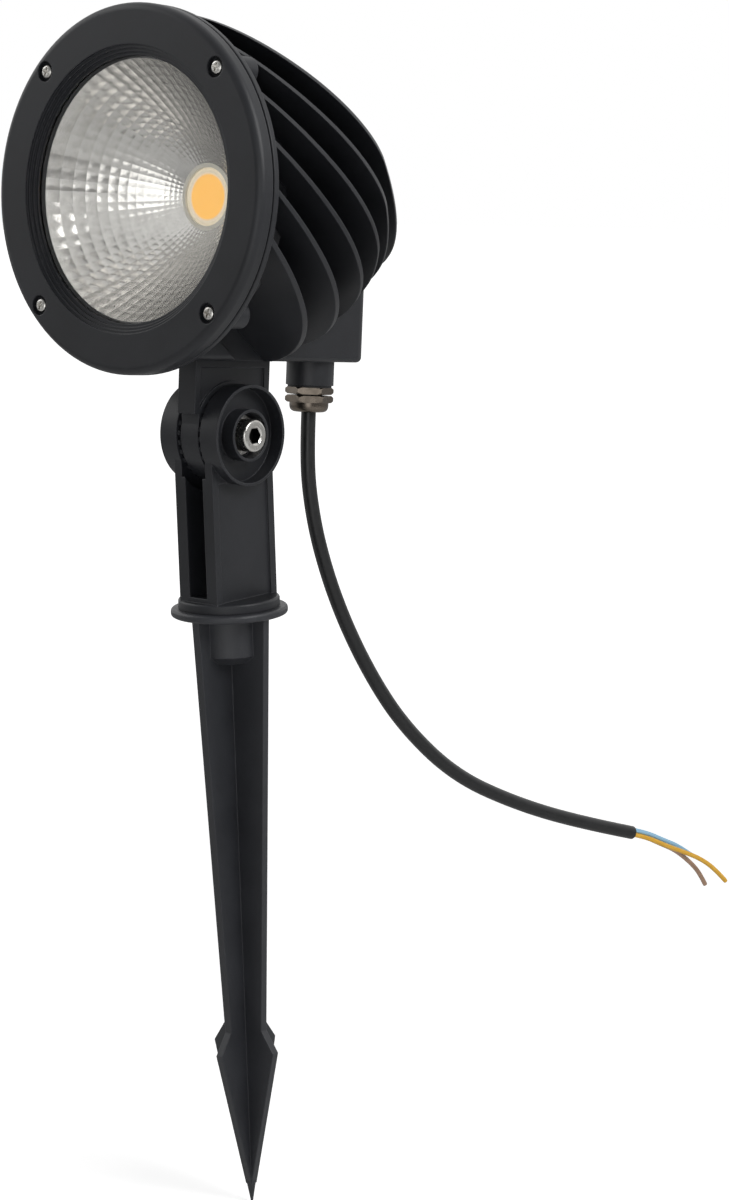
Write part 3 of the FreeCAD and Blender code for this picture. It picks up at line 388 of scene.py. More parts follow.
def metal_finish_group():
    """Machined or plated metal: fine lines and faint tarnish, as Color, Roughness and Height."""
    group, given, result = new_group(
        "metal_finish",
        [
            ("Vector", "NodeSocketVector", (0, 0, 0)),
            ("Color", "NodeSocketColor", (0.6, 0.6, 0.6, 1)),
            ("Tarnish Color", "NodeSocketColor", (0.3, 0.3, 0.3, 1)),
            ("Roughness", "NodeSocketFloat", 0.25),
            ("Edge", "NodeSocketFloat", 0.0),
        ],
        [("Color", "NodeSocketColor"), ("Roughness", "NodeSocketFloat"), ("Height", "NodeSocketFloat")],
    )
    vector = given.outputs["Vector"]
    stretch = group.nodes.new("ShaderNodeMapping")
    stretch.inputs["Scale"].default_value = (0.08, 0.08, 1.0)
    group.links.new(vector, stretch.inputs["Vector"])
    lines = noise(group, stretch.outputs["Vector"], 5200.0, 2.0, 0.6)
    stain = noise(group, vector, 210.0, 4.0, 0.6)
    tarnish = ranged(group, stain, 0.45, 0.75, 0.0, 0.7)
    color = mixed(group, tarnish, given.outputs["Color"], given.outputs["Tarnish Color"])
    swing = ranged(group, stain, 0.3, 0.75, -0.04, 0.14)
    polished = math_node(group, "MULTIPLY", given.outputs["Edge"], -0.06)
    rough = math_node(group, "ADD", math_node(group, "ADD", given.outputs["Roughness"], swing), polished)
    group.links.new(color, result.inputs["Color"])
    group.links.new(rough, result.inputs["Roughness"])
    group.links.new(lines, result.inputs["Height"])
    return group


def soft_mould_group():
    """Moulded rubber or plastic: faint mottling, a painted highlight on edges and a fine matte skin. Gives
    Color, Roughness and Height.
    """
    group, given, result = new_group(
        "soft_mould",
        [
            ("Vector", "NodeSocketVector", (0, 0, 0)),
            ("Color", "NodeSocketColor", (0.1, 0.1, 0.1, 1)),
            ("Mottle And Edge Highlight Color", "NodeSocketColor", (0.2, 0.2, 0.2, 1)),
            ("Roughness", "NodeSocketFloat", 0.5),
            ("Mottle Scale", "NodeSocketFloat", 120.0),
            ("Edge", "NodeSocketFloat", 0.0),
        ],
        [("Color", "NodeSocketColor"), ("Roughness", "NodeSocketFloat"), ("Height", "NodeSocketFloat")],
    )
    vector = given.outputs["Vector"]
    mottle = noise(group, vector, given.outputs["Mottle Scale"], 5.0, 0.6)
    skin = noise(group, vector, 3200.0, 2.0, 0.6)
    # The Edge mask paints a highlight: edges turn towards the lighter mottle colour.
    amount = math_node(group, "ADD", ranged(group, mottle, 0.35, 0.75, 0.0, 0.8), given.outputs["Edge"])
    color = mixed(group, amount, given.outputs["Color"], given.outputs["Mottle And Edge Highlight Color"])
    swing = ranged(group, mottle, 0.3, 0.7, -0.07, 0.07)
    rough = math_node(group, "ADD", given.outputs["Roughness"], swing)
    group.links.new(color, result.inputs["Color"])
    group.links.new(rough, result.inputs["Roughness"])
    group.links.new(skin, result.inputs["Height"])
    return group


def grouped_material(name, group, values, relief, edge, metallic=0.0, specular=0.5):
    """A Principled material: colour, roughness and relief from a group, on edges rounded to a radius."""
    material = bpy.data.materials.new(name)
    material.use_nodes = True
    tree = material.node_tree
    surface = tree.nodes["Principled BSDF"]
    surface.inputs["Metallic"].default_value = metallic
    surface.inputs["Specular IOR Level"].default_value = specular
    place_of = tree.nodes.new("ShaderNodeTexCoord")
    use = tree.nodes.new("ShaderNodeGroup")
    use.node_tree = group
    tree.links.new(place_of.outputs["Object"], use.inputs["Vector"])
    for label, value in values.items():
        use.inputs[label].default_value = (*value, 1.0) if isinstance(value, tuple) else value
    # The edge mask paints a highlight in the coat and mould groups, where it lightens the colour; in the
    # metal group it only lowers roughness.
    normal, mask = rounded_edges(tree, edge)
    tree.links.new(mask, use.inputs["Edge"])
    tree.links.new(use.outputs["Color"], surface.inputs["Base Color"])
    tree.links.new(use.outputs["Roughness"], surface.inputs["Roughness"])
    tree.links.new(bumped(tree, use.outputs["Height"], relief, normal), surface.inputs["Normal"])
    return material


def material_of(name):
    return bpy.data.materials[name]


def build_materials(look):
    """Every finish of the object, from three shared groups."""
    coat_materials(look)
    metal_materials()
    mould_materials()
    clear_glass()


def coat_materials(look):
    """The black powder coat of the castings and the black plastic of the spike."""
    coat = coat_grain_group()
    coat_color = tuple(look.coat_color)
    # The lighter colour serves both the specks and the painted highlight on edges.
    speck_and_highlight = tuple(min(1.0, c * 2.2) for c in coat_color)
    grouped_material("black_powder_coat", coat, {
        "Color": coat_color, "Speck And Edge Highlight Color": speck_and_highlight, "Roughness": look.coat_roughness, "Pebble Scale": 1100.0,
    }, look.coat_relief, look.edge_round, specular=0.4)
    grouped_material("black_spike_plastic", coat, {
        "Color": tuple(c * 1.5 for c in coat_color), "Speck And Edge Highlight Color": tuple(c * 1.3 for c in speck_and_highlight),
        "Roughness": 0.46, "Pebble Scale": 520.0,
    }, 0.008 * MM, look.edge_round, specular=0.5)


def metal_materials():
    """Bare and plated metals, as (name, colour, tarnish, roughness, relief, edge)."""
    metal = metal_finish_group()
    for name, color, tarnish, roughness, relief, edge in (
        ("bright_steel", (0.66, 0.65, 0.62), (0.45, 0.42, 0.38), 0.24, 0.003, 0.25),
        ("nickel_plate", (0.17, 0.145, 0.12), (0.1, 0.085, 0.068), 0.27, 0.002, 0.3),
        # This dark metal only paints the shade inside the bolt's socket.
        ("socket_shade_black", (0.03, 0.028, 0.026), (0.018, 0.017, 0.016), 0.4, 0.004, 0.1),
        ("insert_brass", (0.6, 0.42, 0.16), (0.35, 0.22, 0.08), 0.3, 0.004, 0.2),
        ("mirror_aluminium", (0.6, 0.585, 0.56), (0.48, 0.465, 0.44), 0.13, 0.0005, 0.05),
        ("source_aluminium", (0.75, 0.75, 0.73), (0.6, 0.6, 0.58), 0.35, 0.004, 0.1),
        ("copper_strands", (0.72, 0.34, 0.2), (0.5, 0.2, 0.1), 0.3, 0.006, 0.05),
    ):
        grouped_material(name, metal, {
            "Color": color, "Tarnish Color": tarnish, "Roughness": roughness,
        }, relief * MM, edge * MM, metallic=1.0)


def mould_materials():
    """Rubber, plastic and paint, as (name, colour, mottle and edge highlight colour, roughness, mottle
    scale).
    """
    mould = soft_mould_group()
    for name, color, mottle, roughness, scale in (
        ("sealing_rubber", (0.006, 0.006, 0.007), (0.014, 0.014, 0.015), 0.62, 120.0),
        ("lead_jacket", (0.006, 0.0065, 0.007), (0.011, 0.011, 0.012), 0.4, 260.0),
        ("cream_plastic", (0.74, 0.7, 0.6), (0.8, 0.77, 0.68), 0.4, 120.0),
        ("thermal_grey", (0.3, 0.31, 0.33), (0.36, 0.37, 0.38), 0.7, 120.0),
        ("board_green", (0.015, 0.11, 0.04), (0.02, 0.16, 0.06), 0.3, 600.0),
        ("ferrite_grey", (0.04, 0.04, 0.042), (0.07, 0.07, 0.07), 0.6, 120.0),
        ("capacitor_sleeve", (0.012, 0.016, 0.03), (0.02, 0.026, 0.045), 0.3, 120.0),
        ("terminal_green", (0.06, 0.3, 0.1), (0.08, 0.36, 0.13), 0.45, 120.0),
        ("white_sleeve", (0.78, 0.78, 0.75), (0.85, 0.85, 0.82), 0.4, 120.0),
        ("red_sleeve", (0.45, 0.03, 0.02), (0.55, 0.05, 0.03), 0.4, 120.0),
        ("core_blue", (0.05, 0.065, 0.2), (0.08, 0.1, 0.27), 0.38, 300.0),
        ("core_brown", (0.2, 0.045, 0.035), (0.28, 0.07, 0.055), 0.38, 300.0),
        ("core_yellow", (0.75, 0.4, 0.03), (0.82, 0.48, 0.06), 0.38, 300.0),
    ):
        grouped_material(name, mould, {
            "Color": color, "Mottle And Edge Highlight Color": mottle, "Roughness": roughness, "Mottle Scale": scale,
        }, 0.006 * MM, 0.15 * MM)
    phosphor_with_painted_glow(mould)


def phosphor_with_painted_glow(mould):
    """Warm phosphor that pales into the clear dam round it, by the piece's own reach from its middle, with a
    painted glow of its own colour though the source is unlit.
    """
    values = {"Roughness": 0.45, "Mottle Scale": 900.0}
    material = grouped_material("warm_phosphor", mould, values, 0.004 * MM, 0.1 * MM)
    tree = material.node_tree
    surface = tree.nodes["Principled BSDF"]
    group = next(node for node in tree.nodes if node.type == "GROUP")
    reach = tree.nodes.new("ShaderNodeAttribute")
    reach.attribute_name = "reach"
    edge = ranged(tree, reach.outputs["Fac"], 0.74, 0.82, 0.0, 1.0)
    color = mixed(tree, edge, (0.95, 0.48, 0.08), (0.62, 0.54, 0.4))
    paler = mixed(tree, edge, (0.98, 0.53, 0.12), (0.7, 0.63, 0.5))
    tree.links.new(color, group.inputs["Color"])
    tree.links.new(paler, group.inputs["Mottle And Edge Highlight Color"])
    # Painted glow: the unlit phosphor emits its own colour.
    tree.links.new(color, surface.inputs["Emission Color"])
    surface.inputs["Emission Strength"].default_value = 0.6


def clear_glass():
    """Clear window glass with faint smears that only change its roughness."""
    material = bpy.data.materials.new("window_glass")
    material.use_nodes = True
    tree = material.node_tree
    surface = tree.nodes["Principled BSDF"]
    surface.inputs["Base Color"].default_value = (0.985, 0.99, 0.985, 1.0)
    surface.inputs["Transmission Weight"].default_value = 1.0
    surface.inputs["IOR"].default_value = 1.45
    place_of = tree.nodes.new("ShaderNodeTexCoord")
    smear = noise(tree, place_of.outputs["Object"], 60.0, 4.0, 0.6)
    tree.links.new(ranged(tree, smear, 0.5, 0.8, 0.0, 0.02), surface.inputs["Roughness"])


# ---- settings ---------------------------------------------------------------------------------------

class SpotlightLook(bpy.types.PropertyGroup):
    """Colours and grain of the coated metal."""

    coat_color: FloatVectorProperty(
        name="Coat colour", description="Colour of the black coat", subtype="COLOR",
        default=(0.0125, 0.0133, 0.0158), min=0.0, max=1.0,
    )
    coat_roughness: FloatProperty(
        name="Coat roughness", description="How matte the coat is", subtype="FACTOR",
        default=0.44, min=0.0, max=1.0,
    )
    coat_relief: FloatProperty(
        name="Coat relief", description="Height of the fine pebbling", unit="LENGTH", precision=6,
        default=0.012 * MM, min=0.0,
    )
    edge_round: FloatProperty(
        name="Edge rounding", description="Radius to which the coat rounds the edges", unit="LENGTH",
        precision=5, default=0.6 * MM, min=0.0,
    )


class SpotlightReflector(bpy.types.PropertyGroup):
    """The faceted bowl."""

    mouth_radius: FloatProperty(
        name="Mouth radius", description="Radius at the glass", unit="LENGTH", precision=5, default=50.2 * MM,
    )
    back_radius: FloatProperty(
        name="Back radius", description="Radius at the light source", unit="LENGTH", precision=5,
        default=13.2 * MM,
    )
    front: FloatProperty(
        name="Front", description="Distance of the mouth behind the bezel's front", unit="LENGTH",
        precision=5, default=7.6 * MM,
    )
    back: FloatProperty(
        name="Back", description="Distance of the narrow end behind the bezel's front", unit="LENGTH",
        precision=5, default=47.0 * MM,
    )
    rows: IntProperty(name="Rows", description="Rows of facets from mouth to back", default=16, min=1)
    columns: IntProperty(name="Columns", description="Facets round the bowl", default=64, min=3)
    swell: FloatProperty(
        name="Facet swell", description="How far a facet's middle stands proud at the mouth", unit="LENGTH",
        precision=5, default=0.2 * MM,
    )


class SpotlightLead(bpy.types.PropertyGroup):
    """The free lead and its cores."""

    jacket_radius: FloatProperty(
        name="Jacket radius", description="Outside radius of the jacket", default=3.1 * MM, unit="LENGTH",
        precision=5,
    )
    core_radius: FloatProperty(
        name="Core radius", description="Outside radius of each core", default=1.1 * MM, unit="LENGTH",
        precision=5,
    )
    bend_length: FloatProperty(
        name="Bending length", description="Stretch below the gland that bends as the head tilts",
        default=100.0 * MM, unit="LENGTH", precision=4,
    )


class SpotlightStage(bpy.types.PropertyGroup):
    """Floor, lights and backdrop."""

    floor_height: FloatProperty(
        name="Floor height", description="Level of the floor", default=-0.2575, unit="LENGTH", precision=4,
    )
    floor_color: FloatVectorProperty(
        name="Floor colour", description="Colour of the floor", subtype="COLOR", default=(0.8, 0.8, 0.8),
        min=0.0, max=1.0,
    )
    floor_glow: FloatProperty(
        name="Floor glow", description="White that the camera adds to the floor near the object",
        default=0.58, min=0.0,
    )
    far_glow: FloatProperty(
        name="Far floor glow", description="White that the camera adds to the far floor",
        default=0.92, min=0.0,
    )
    sky_strength: FloatProperty(
        name="Sky strength", description="Even light from the pale backdrop", default=0.46, min=0.0,
    )
    room_strength: FloatProperty(
        name="Room strength", description="Share of that light left behind the camera", default=0.24, min=0.0,
    )
    key_power: FloatProperty(
        name="Key light", description="Power of the large light at the right", unit="POWER", default=14.0,
        min=0.0,
    )
    fill_power: FloatProperty(
        name="Fill light", description="Power of the light at the left", unit="POWER", default=3.0, min=0.0,
    )
    window_power: FloatProperty(
        name="Window light", description="Power of the soft light that the bowl mirrors", unit="POWER",
        default=4.4, min=0.0,
    )


# ---- operators --------------------------------------------------------------------------------------

def lead_points():
    """The gland's exit, a point straight out of it, then the route."""
    exit_point = lamp([0.0, GLAND_DISTANCE, GLAND_EXIT])
    ahead = lamp([0.0, GLAND_DISTANCE, GLAND_EXIT - MM]) - exit_point
    first = exit_point + ahead * ((exit_point[2] - LEAD_ROUTE[0, 1]) / -ahead[2])
    foot = np.array([0.0, exit_point[1], 0.0])
    rest = foot + LEAD_ROUTE[1:, :1] * LEAD_OUT + LEAD_ROUTE[1:, 1:] * LEAD_UP
    return np.vstack([exit_point, first, rest])


class SPOTLIGHT_OT_camera(bpy.types.Operator):
    """Set the camera where the photograph was taken from."""

    bl_idname = "spotlight.camera"
    bl_label = "Camera"

    def execute(self, context):
        azimuth, elevation, roll = (math.radians(angle) for angle in CAMERA_ANGLES)
        back = Vector((
            math.sin(azimuth) * math.cos(elevation),
            -math.cos(azimuth) * math.cos(elevation),
            math.sin(elevation),
        ))
        level_right = Vector((math.cos(azimuth), math.sin(azimuth), 0.0))
        level_up = back.cross(level_right)
        right = level_right * math.cos(roll) + level_up * math.sin(roll)
        up = level_up * math.cos(roll) - level_right * math.sin(roll)
        data = bpy.data.cameras.new("photo_camera")
        data.lens = CAMERA_LENS
        data.shift_x, data.shift_y = CAMERA_SHIFT
        camera = bpy.data.objects.new("photo_camera", data)
        axes = Matrix((right, up, back)).transposed().to_4x4()
        camera.matrix_world = Matrix.Translation(CAMERA_PLACE) @ axes
        context.scene.collection.objects.link(camera)
        context.scene.camera = camera
        return {"FINISHED"}


class SPOTLIGHT_OT_lead(bpy.types.Operator):
    """Run the jacketed lead from the gland and part its three cores."""

    bl_idname = "spotlight.lead"
    bl_label = "Lead"

    def execute(self, context):
        settings = context.scene.spotlight_lead
        points = lead_points()
        path = spline_path("lead", points)
        radius = settings.jacket_radius
        end_round = 0.5 * MM
        along = np.concatenate([[0.0], np.cumsum(np.linalg.norm(np.diff(path, axis=0), axis=1))])
        length = along[-1]
        near_end = length - end_round * np.array([1.0, 0.6, 0.3, 0.1, 0.0])
        stations = np.concatenate([along[along < length - 2 * end_round], near_end])
        route = np.column_stack([np.interp(stations, along, path[:, axis]) for axis in range(3)])
        radii = np.full(len(route), radius)
        radii[-5:] = radius - end_round * np.array([0.0, 0.08, 0.29, 0.55, 1.0])
        ring = tube_grid(route, radii)
        start_cap = np.repeat(route[:1, None, :], ring.shape[1], axis=1)
        end_cap = np.repeat(route[-1:, None, :], ring.shape[1], axis=1)
        jacket = grid_mesh("lead_jacket_piece", np.concatenate([start_cap, ring, end_cap]))
        place(jacket, None, material_of("lead_jacket"), ["cord_jacket"])
        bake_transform(jacket)
        self.part_cores(points, settings.core_radius)
        return {"FINISHED"}

    def part_cores(self, points, radius):
        """Three cores lie side by side where they leave the jacket, then part."""
        end = points[-1]
        ahead = unit(points[-1] - points[-2])
        up = np.cross(LEAD_SIDE, ahead)
        spread = 2 * (radius + 0.06 * MM) / math.sqrt(3)
        finishes = {"core_blue": "core_blue", "core_brown": "core_brown", "core_yellow_green": "core_yellow"}
        for node, (rise, sideways) in CORE_PLACES.items():
            out, height, side = (MM * np.array(CORE_ROUTES[node])).T[:, :, None]
            first = end + spread * (rise * up + sideways * LEAD_SIDE)
            rest = end + out * LEAD_OUT + height * LEAD_UP + side * LEAD_SIDE
            control = np.vstack([first, first + ahead * CORE_STRAIGHT, rest])
            path = spline_path(node, control)
            radii = np.full(len(path), radius)
            radii[-1] = radius * 0.9
            ring = tube_grid(path, radii, sides=20)
            caps = [np.repeat(path[i:i + 1 or None, None, :][:1], ring.shape[1], axis=1) for i in (0, -1)]
            core = grid_mesh(node + "_piece", np.concatenate([caps[0], ring, caps[1]]))
            place(core, "fork", material_of(finishes[node]), [node])
            self.copper_end(node, path, radius)

    def copper_end(self, node, path, radius):
        """A low dome of copper strands at a core's cut end: a bundle of small bumps on a disc."""
        ahead = unit(path[-1] - path[-2])
        across = unit(LEAD_SIDE - (LEAD_SIDE @ ahead) * ahead)
        up = np.cross(across, ahead)
        share = np.linspace(0, 1, 9)[:, None]
        angle = np.linspace(0, 2 * math.pi, 36, endpoint=False)[None, :]
        reach = 0.52 * radius * share
        bumps = 0.05 * MM * np.cos(6 * angle) * np.sin(math.pi * share)
        lift = 0.12 * MM * (1 - share ** 2) + bumps
        skirt = np.where(share > 0.95, -0.1 * MM, lift)
        round_way = np.cos(angle)[..., None] * up + np.sin(angle)[..., None] * across
        points = path[-1] + reach[..., None] * round_way + skirt[..., None] * ahead
        back = np.repeat((path[-1] - 0.1 * MM * ahead)[None, None, :], angle.shape[1], axis=1)
        strands = grid_mesh(node + "_copper", np.concatenate([points, back]))
        place(strands, "fork", material_of("copper_strands"))


class SPOTLIGHT_OT_reflector(bpy.types.Operator):
    """Form the bowl from rows of slightly swollen facets.

    The radius squared falls evenly with depth, and each row is as long down the wall as its facets are wide.
    """

    bl_idname = "spotlight.reflector"
    bl_label = "Reflector"

    def execute(self, context):
        settings = context.scene.spotlight_reflector
        cells = 5
        span = settings.back - settings.front
        fine = np.linspace(0, 1, 400)
        lost = settings.mouth_radius ** 2 - settings.back_radius ** 2
        squared = settings.back_radius ** 2 + lost * (1 - fine)
        wall, depth = np.sqrt(squared), settings.front + span * fine
        steps = np.hypot(np.diff(wall), np.diff(depth)) / wall[1:]
        turned_by = np.concatenate([[0.0], np.cumsum(steps)])
        even = np.linspace(0, turned_by[-1], settings.rows + 1)
        radius, along = np.interp(even, turned_by, wall), np.interp(even, turned_by, depth)
        angle = 2 * math.pi * np.arange(settings.columns + 1) / settings.columns
        corner = np.stack([
            radius[:, None] * np.cos(angle), along[:, None] + 0 * angle, radius[:, None] * np.sin(angle)
        ], axis=-1)
        a, b, c, d = corner[:-1, :-1], corner[:-1, 1:], corner[1:, :-1], corner[1:, 1:]
        across = np.cross(b - a, c - a)
        inward = unit(across)[:, :, None, None, :]
        step = np.linspace(0, 1, cells)
        s, t = step[None, None, :, None, None], step[None, None, None, :, None]
        a, b, c, d = (x[:, :, None, None, :] for x in (a, b, c, d))
        flat = (1 - s) * ((1 - t) * a + t * b) + s * ((1 - t) * c + t * d)
        share = (radius[:-1] / settings.mouth_radius)[:, None, None, None, None]
        bulge = settings.swell * share * (1 - (2 * s - 1) ** 2) * (1 - (2 * t - 1) ** 2)
        inside = flat + bulge * inward
        count = inside.shape[0] * inside.shape[1]
        index = np.arange(count * cells * cells).reshape(count, cells, cells)
        faces = np.stack([
            index[:, :-1, :-1], index[:, :-1, 1:], index[:, 1:, 1:], index[:, 1:, :-1]
        ], axis=-1)
        mesh = bpy.data.meshes.new("faceted_bowl")
        mesh.from_pydata(lamp(inside.reshape(-1, 3)), [], faces.reshape(-1, 4).tolist())
        mesh.polygons.foreach_set("use_smooth", np.ones(len(mesh.polygons), bool))
        bowl = bpy.data.objects.new("faceted_bowl", mesh)
        place(bowl, "head", material_of("mirror_aluminium"), ["reflector"])
        return {"FINISHED"}


class SPOTLIGHT_OT_source(bpy.types.Operator):
    """Dome the phosphor inside its raised clear dam."""

    bl_idname = "spotlight.source"
    bl_label = "Light source"

    def execute(self, context):
        dam = 11.5 * MM
        reach = np.linspace(0, 1, 49)
        radius = dam * reach
        dome = 0.34 * MM * np.clip(1 - (reach / 0.86) ** 2, 0, 1)
        ring = 0.55 * MM * np.exp(-((reach - 0.9) / 0.045) ** 2)
        height = np.where(reach < 1, 0.06 * MM + dome + ring, 0.0)
        grid = turned_grid(np.column_stack([radius, SOURCE_FACE - height]), columns=96)
        back = turned_grid(np.array([(0.0, SOURCE_FACE)]), columns=96)
        piece = grid_mesh("domed_source", lamp(np.concatenate([grid, back])))
        place_in = np.empty(len(piece.data.vertices) * 3)
        piece.data.vertices.foreach_get("co", place_in)
        away = place_in.reshape(-1, 3) - lamp([0.0, SOURCE_FACE, 0.0])
        ahead = unit(lamp([0.0, 1.0, 0.0]) - lamp([0.0, 0.0, 0.0]))
        sideways = away - (away @ ahead)[:, None] * ahead
        held = piece.data.attributes.new("reach", "FLOAT", "POINT")
        held.data.foreach_set("value", np.linalg.norm(sideways, axis=1) / dam)
        place(piece, "head", material_of("warm_phosphor"), ["source_phosphor"])
        return {"FINISHED"}


class SPOTLIGHT_OT_bolt(bpy.types.Operator):
    """Turn the hinge bolt with its chamfered head and hexagon socket."""

    bl_idname = "spotlight.bolt"
    bl_label = "Hinge bolt"

    def execute(self, context):
        angle = np.linspace(0, 2 * math.pi, 144, endpoint=False)[None, :]
        socket = hexagon_radius(angle, 3.0 * MM)
        mouth = 3.75 * MM
        head, shank = 6.5 * MM, 4.0 * MM
        turn = np.linspace(0, math.pi / 2, 7)
        rows = [
            (0.0, BOLT_TOP - 5.0 * MM),
            (socket * 0.98, BOLT_TOP - 4.5 * MM),
            (socket, BOLT_TOP - 4.4 * MM),
            (socket, BOLT_TOP - 0.5 * MM),
            (np.maximum(socket, mouth), BOLT_TOP - 0.08 * MM),
            (np.maximum(socket, mouth) + 0.1 * MM, BOLT_TOP),
        ]
        rows += [(head - 0.9 * MM * (1 - math.sin(t)), BOLT_TOP - 0.9 * MM * (1 - math.cos(t))) for t in turn]
        rows += [(head, BOLT_SEAT + 0.2 * MM), (head - 0.2 * MM, BOLT_SEAT), (shank, BOLT_SEAT)]
        rows += [(shank, BOLT_END + 0.6 * MM), (shank - 0.6 * MM, BOLT_END), (0.0, BOLT_END)]
        radius = np.concatenate([np.broadcast_to(reach, angle.shape) for reach, _ in rows])
        along = np.array([x for _, x in rows])[:, None] + 0 * angle
        points = np.stack([along, radius * np.cos(angle), PIN_HEIGHT + radius * np.sin(angle)], axis=-1)
        bolt = grid_mesh("hinge_bolt_piece", points, sharp_deg=28)
        place(bolt, BOLT_BODY, material_of("bright_steel"), ["pivot_bolt"])
        self.socket_painted_shade(socket, angle)
        return {"FINISHED"}

    def socket_painted_shade(self, socket, angle):
        """Painted shade on the wall and floor of the socket: a thin dark cup just inside the hexagon."""
        rows = [
            (0.0 * socket, BOLT_TOP - 4.35 * MM),
            (socket - 0.03 * MM, BOLT_TOP - 4.35 * MM),
            (socket - 0.03 * MM, BOLT_TOP - 0.4 * MM),
            (socket - 0.15 * MM, BOLT_TOP - 0.4 * MM),
            (socket - 0.15 * MM, BOLT_TOP - 4.2 * MM),
            (0.0 * socket, BOLT_TOP - 4.2 * MM),
        ]
        radius = np.concatenate([reach for reach, _ in rows])
        along = np.array([x for _, x in rows])[:, None] + 0 * angle
        points = np.stack([along, radius * np.cos(angle), PIN_HEIGHT + radius * np.sin(angle)], axis=-1)
        shade_sheet = grid_mesh("bolt_socket_shade_sheet", points, sharp_deg=28)
        # The dark cup is painted shade in the socket.
        place(shade_sheet, BOLT_BODY, material_of("socket_shade_black"))


class SPOTLIGHT_OT_gland(bpy.types.Operator):
    """Turn the plated gland: two chamfered hexagons and the rounded nut."""

    bl_idname = "spotlight.gland"
    bl_label = "Cable gland"

    def execute(self, context):
        top = BOSS_MOUTH - GLAND_RING_THICKNESS
        middle = top - GLAND_HEX_THICKNESS
        low = middle - GLAND_HEX_THICKNESS
        finish = material_of("nickel_plate")
        gap = 0.25 * MM
        body = self.hexagon("gland_body_piece", top, middle + gap, GLAND_TURN, 5.6 * MM)
        nut = self.hexagon("gland_nut_hex_piece", middle - gap, low, GLAND_TURN + GLAND_SLIP, 5.6 * MM)
        place(body, "head", finish, ["gland_body"])
        place(nut, "head", finish, ["gland_nut"])
        profile = rounded_profile(
            [(3.17, 0), (8.2, 0), (8.2, 4.0), (8.2, 6.6), (5.0, 6.6), (5.0, 4.0), (3.17, 3.0)],
            [0.4, 2.9, 0.0, 0.0, 0.0, 0.0, 0.3], steps=9,
        ) * MM
        grid = turned_grid(profile, columns=72)
        cap = np.stack([grid[..., 0], GLAND_DISTANCE + grid[..., 2], GLAND_EXIT + grid[..., 1]], axis=-1)
        dome = grid_mesh("gland_dome_piece", lamp(cap), wrap_rows=True)
        place(dome, "head", finish)
        return {"FINISHED"}

    def hexagon(self, name, high, low, turn, bore):
        """Radius round the ring is the hexagon's, cut down by a cone at each end: the smaller of the two."""
        flat = 8.8 * MM
        angle = np.linspace(0, 2 * math.pi, 144, endpoint=False)[None, :]
        height = np.linspace(0, 1, 17)[:, None] * (low - high) + high
        to_end = np.minimum(high - height, height - low)
        cone = flat + 0.5 * MM + to_end * 1.2
        outer = np.minimum(hexagon_radius(angle, flat), cone)
        rows = np.vstack([np.full_like(outer[:1], bore), outer, np.full_like(outer[:1], bore)])
        levels = np.concatenate([height[:1], height, height[-1:]])
        turned = angle + turn
        x, y = rows * np.cos(turned), GLAND_DISTANCE + rows * np.sin(turned)
        points = lamp(np.stack([x, y, levels + 0 * rows], axis=-1))
        return grid_mesh(name, points, wrap_rows=True, sharp_deg=20)


class SPOTLIGHT_OT_plain_parts(bpy.types.Operator):
    """Give the castings and every other node whose solid form is right their finishes."""

    bl_idname = "spotlight.plain_parts"
    bl_label = "Plain parts"

    def execute(self, context):
        finishes = {
            "bezel_ring": "black_powder_coat", "housing": "black_powder_coat", "fin_web": "black_powder_coat",
            "cooling_fins": "black_powder_coat", "tilt_bracket": "black_powder_coat",
            "fork_post": "black_powder_coat", "ground_spike": "black_spike_plastic",
            "bezel_screws": "bright_steel", "bracket_screws": "bright_steel", "holder_screws": "bright_steel",
            "driver_screws": "bright_steel", "pivot_nut": "bright_steel",
            "pivot_washers": "bright_steel", "swivel_screw": "bright_steel", "swivel_washer": "bright_steel",
            "front_gasket": "sealing_rubber", "gland_ring": "sealing_rubber", "gland_seal": "sealing_rubber",
            "glass_lens": "window_glass", "thermal_pad": "thermal_grey", "source_plate": "source_aluminium",
            "source_holder": "cream_plastic", "driver_board": "board_green",
            "driver_transformer": "ferrite_grey", "driver_capacitors": "capacitor_sleeve",
            "terminal_strip": "terminal_green", "supply_leads": "white_sleeve", "led_leads": "red_sleeve",
            "cord_entry": "lead_jacket", "threaded_insert": "insert_brass",
        }
        for node, finish in finishes.items():
            finish_node(node, material_of(finish))
        return {"FINISHED"}


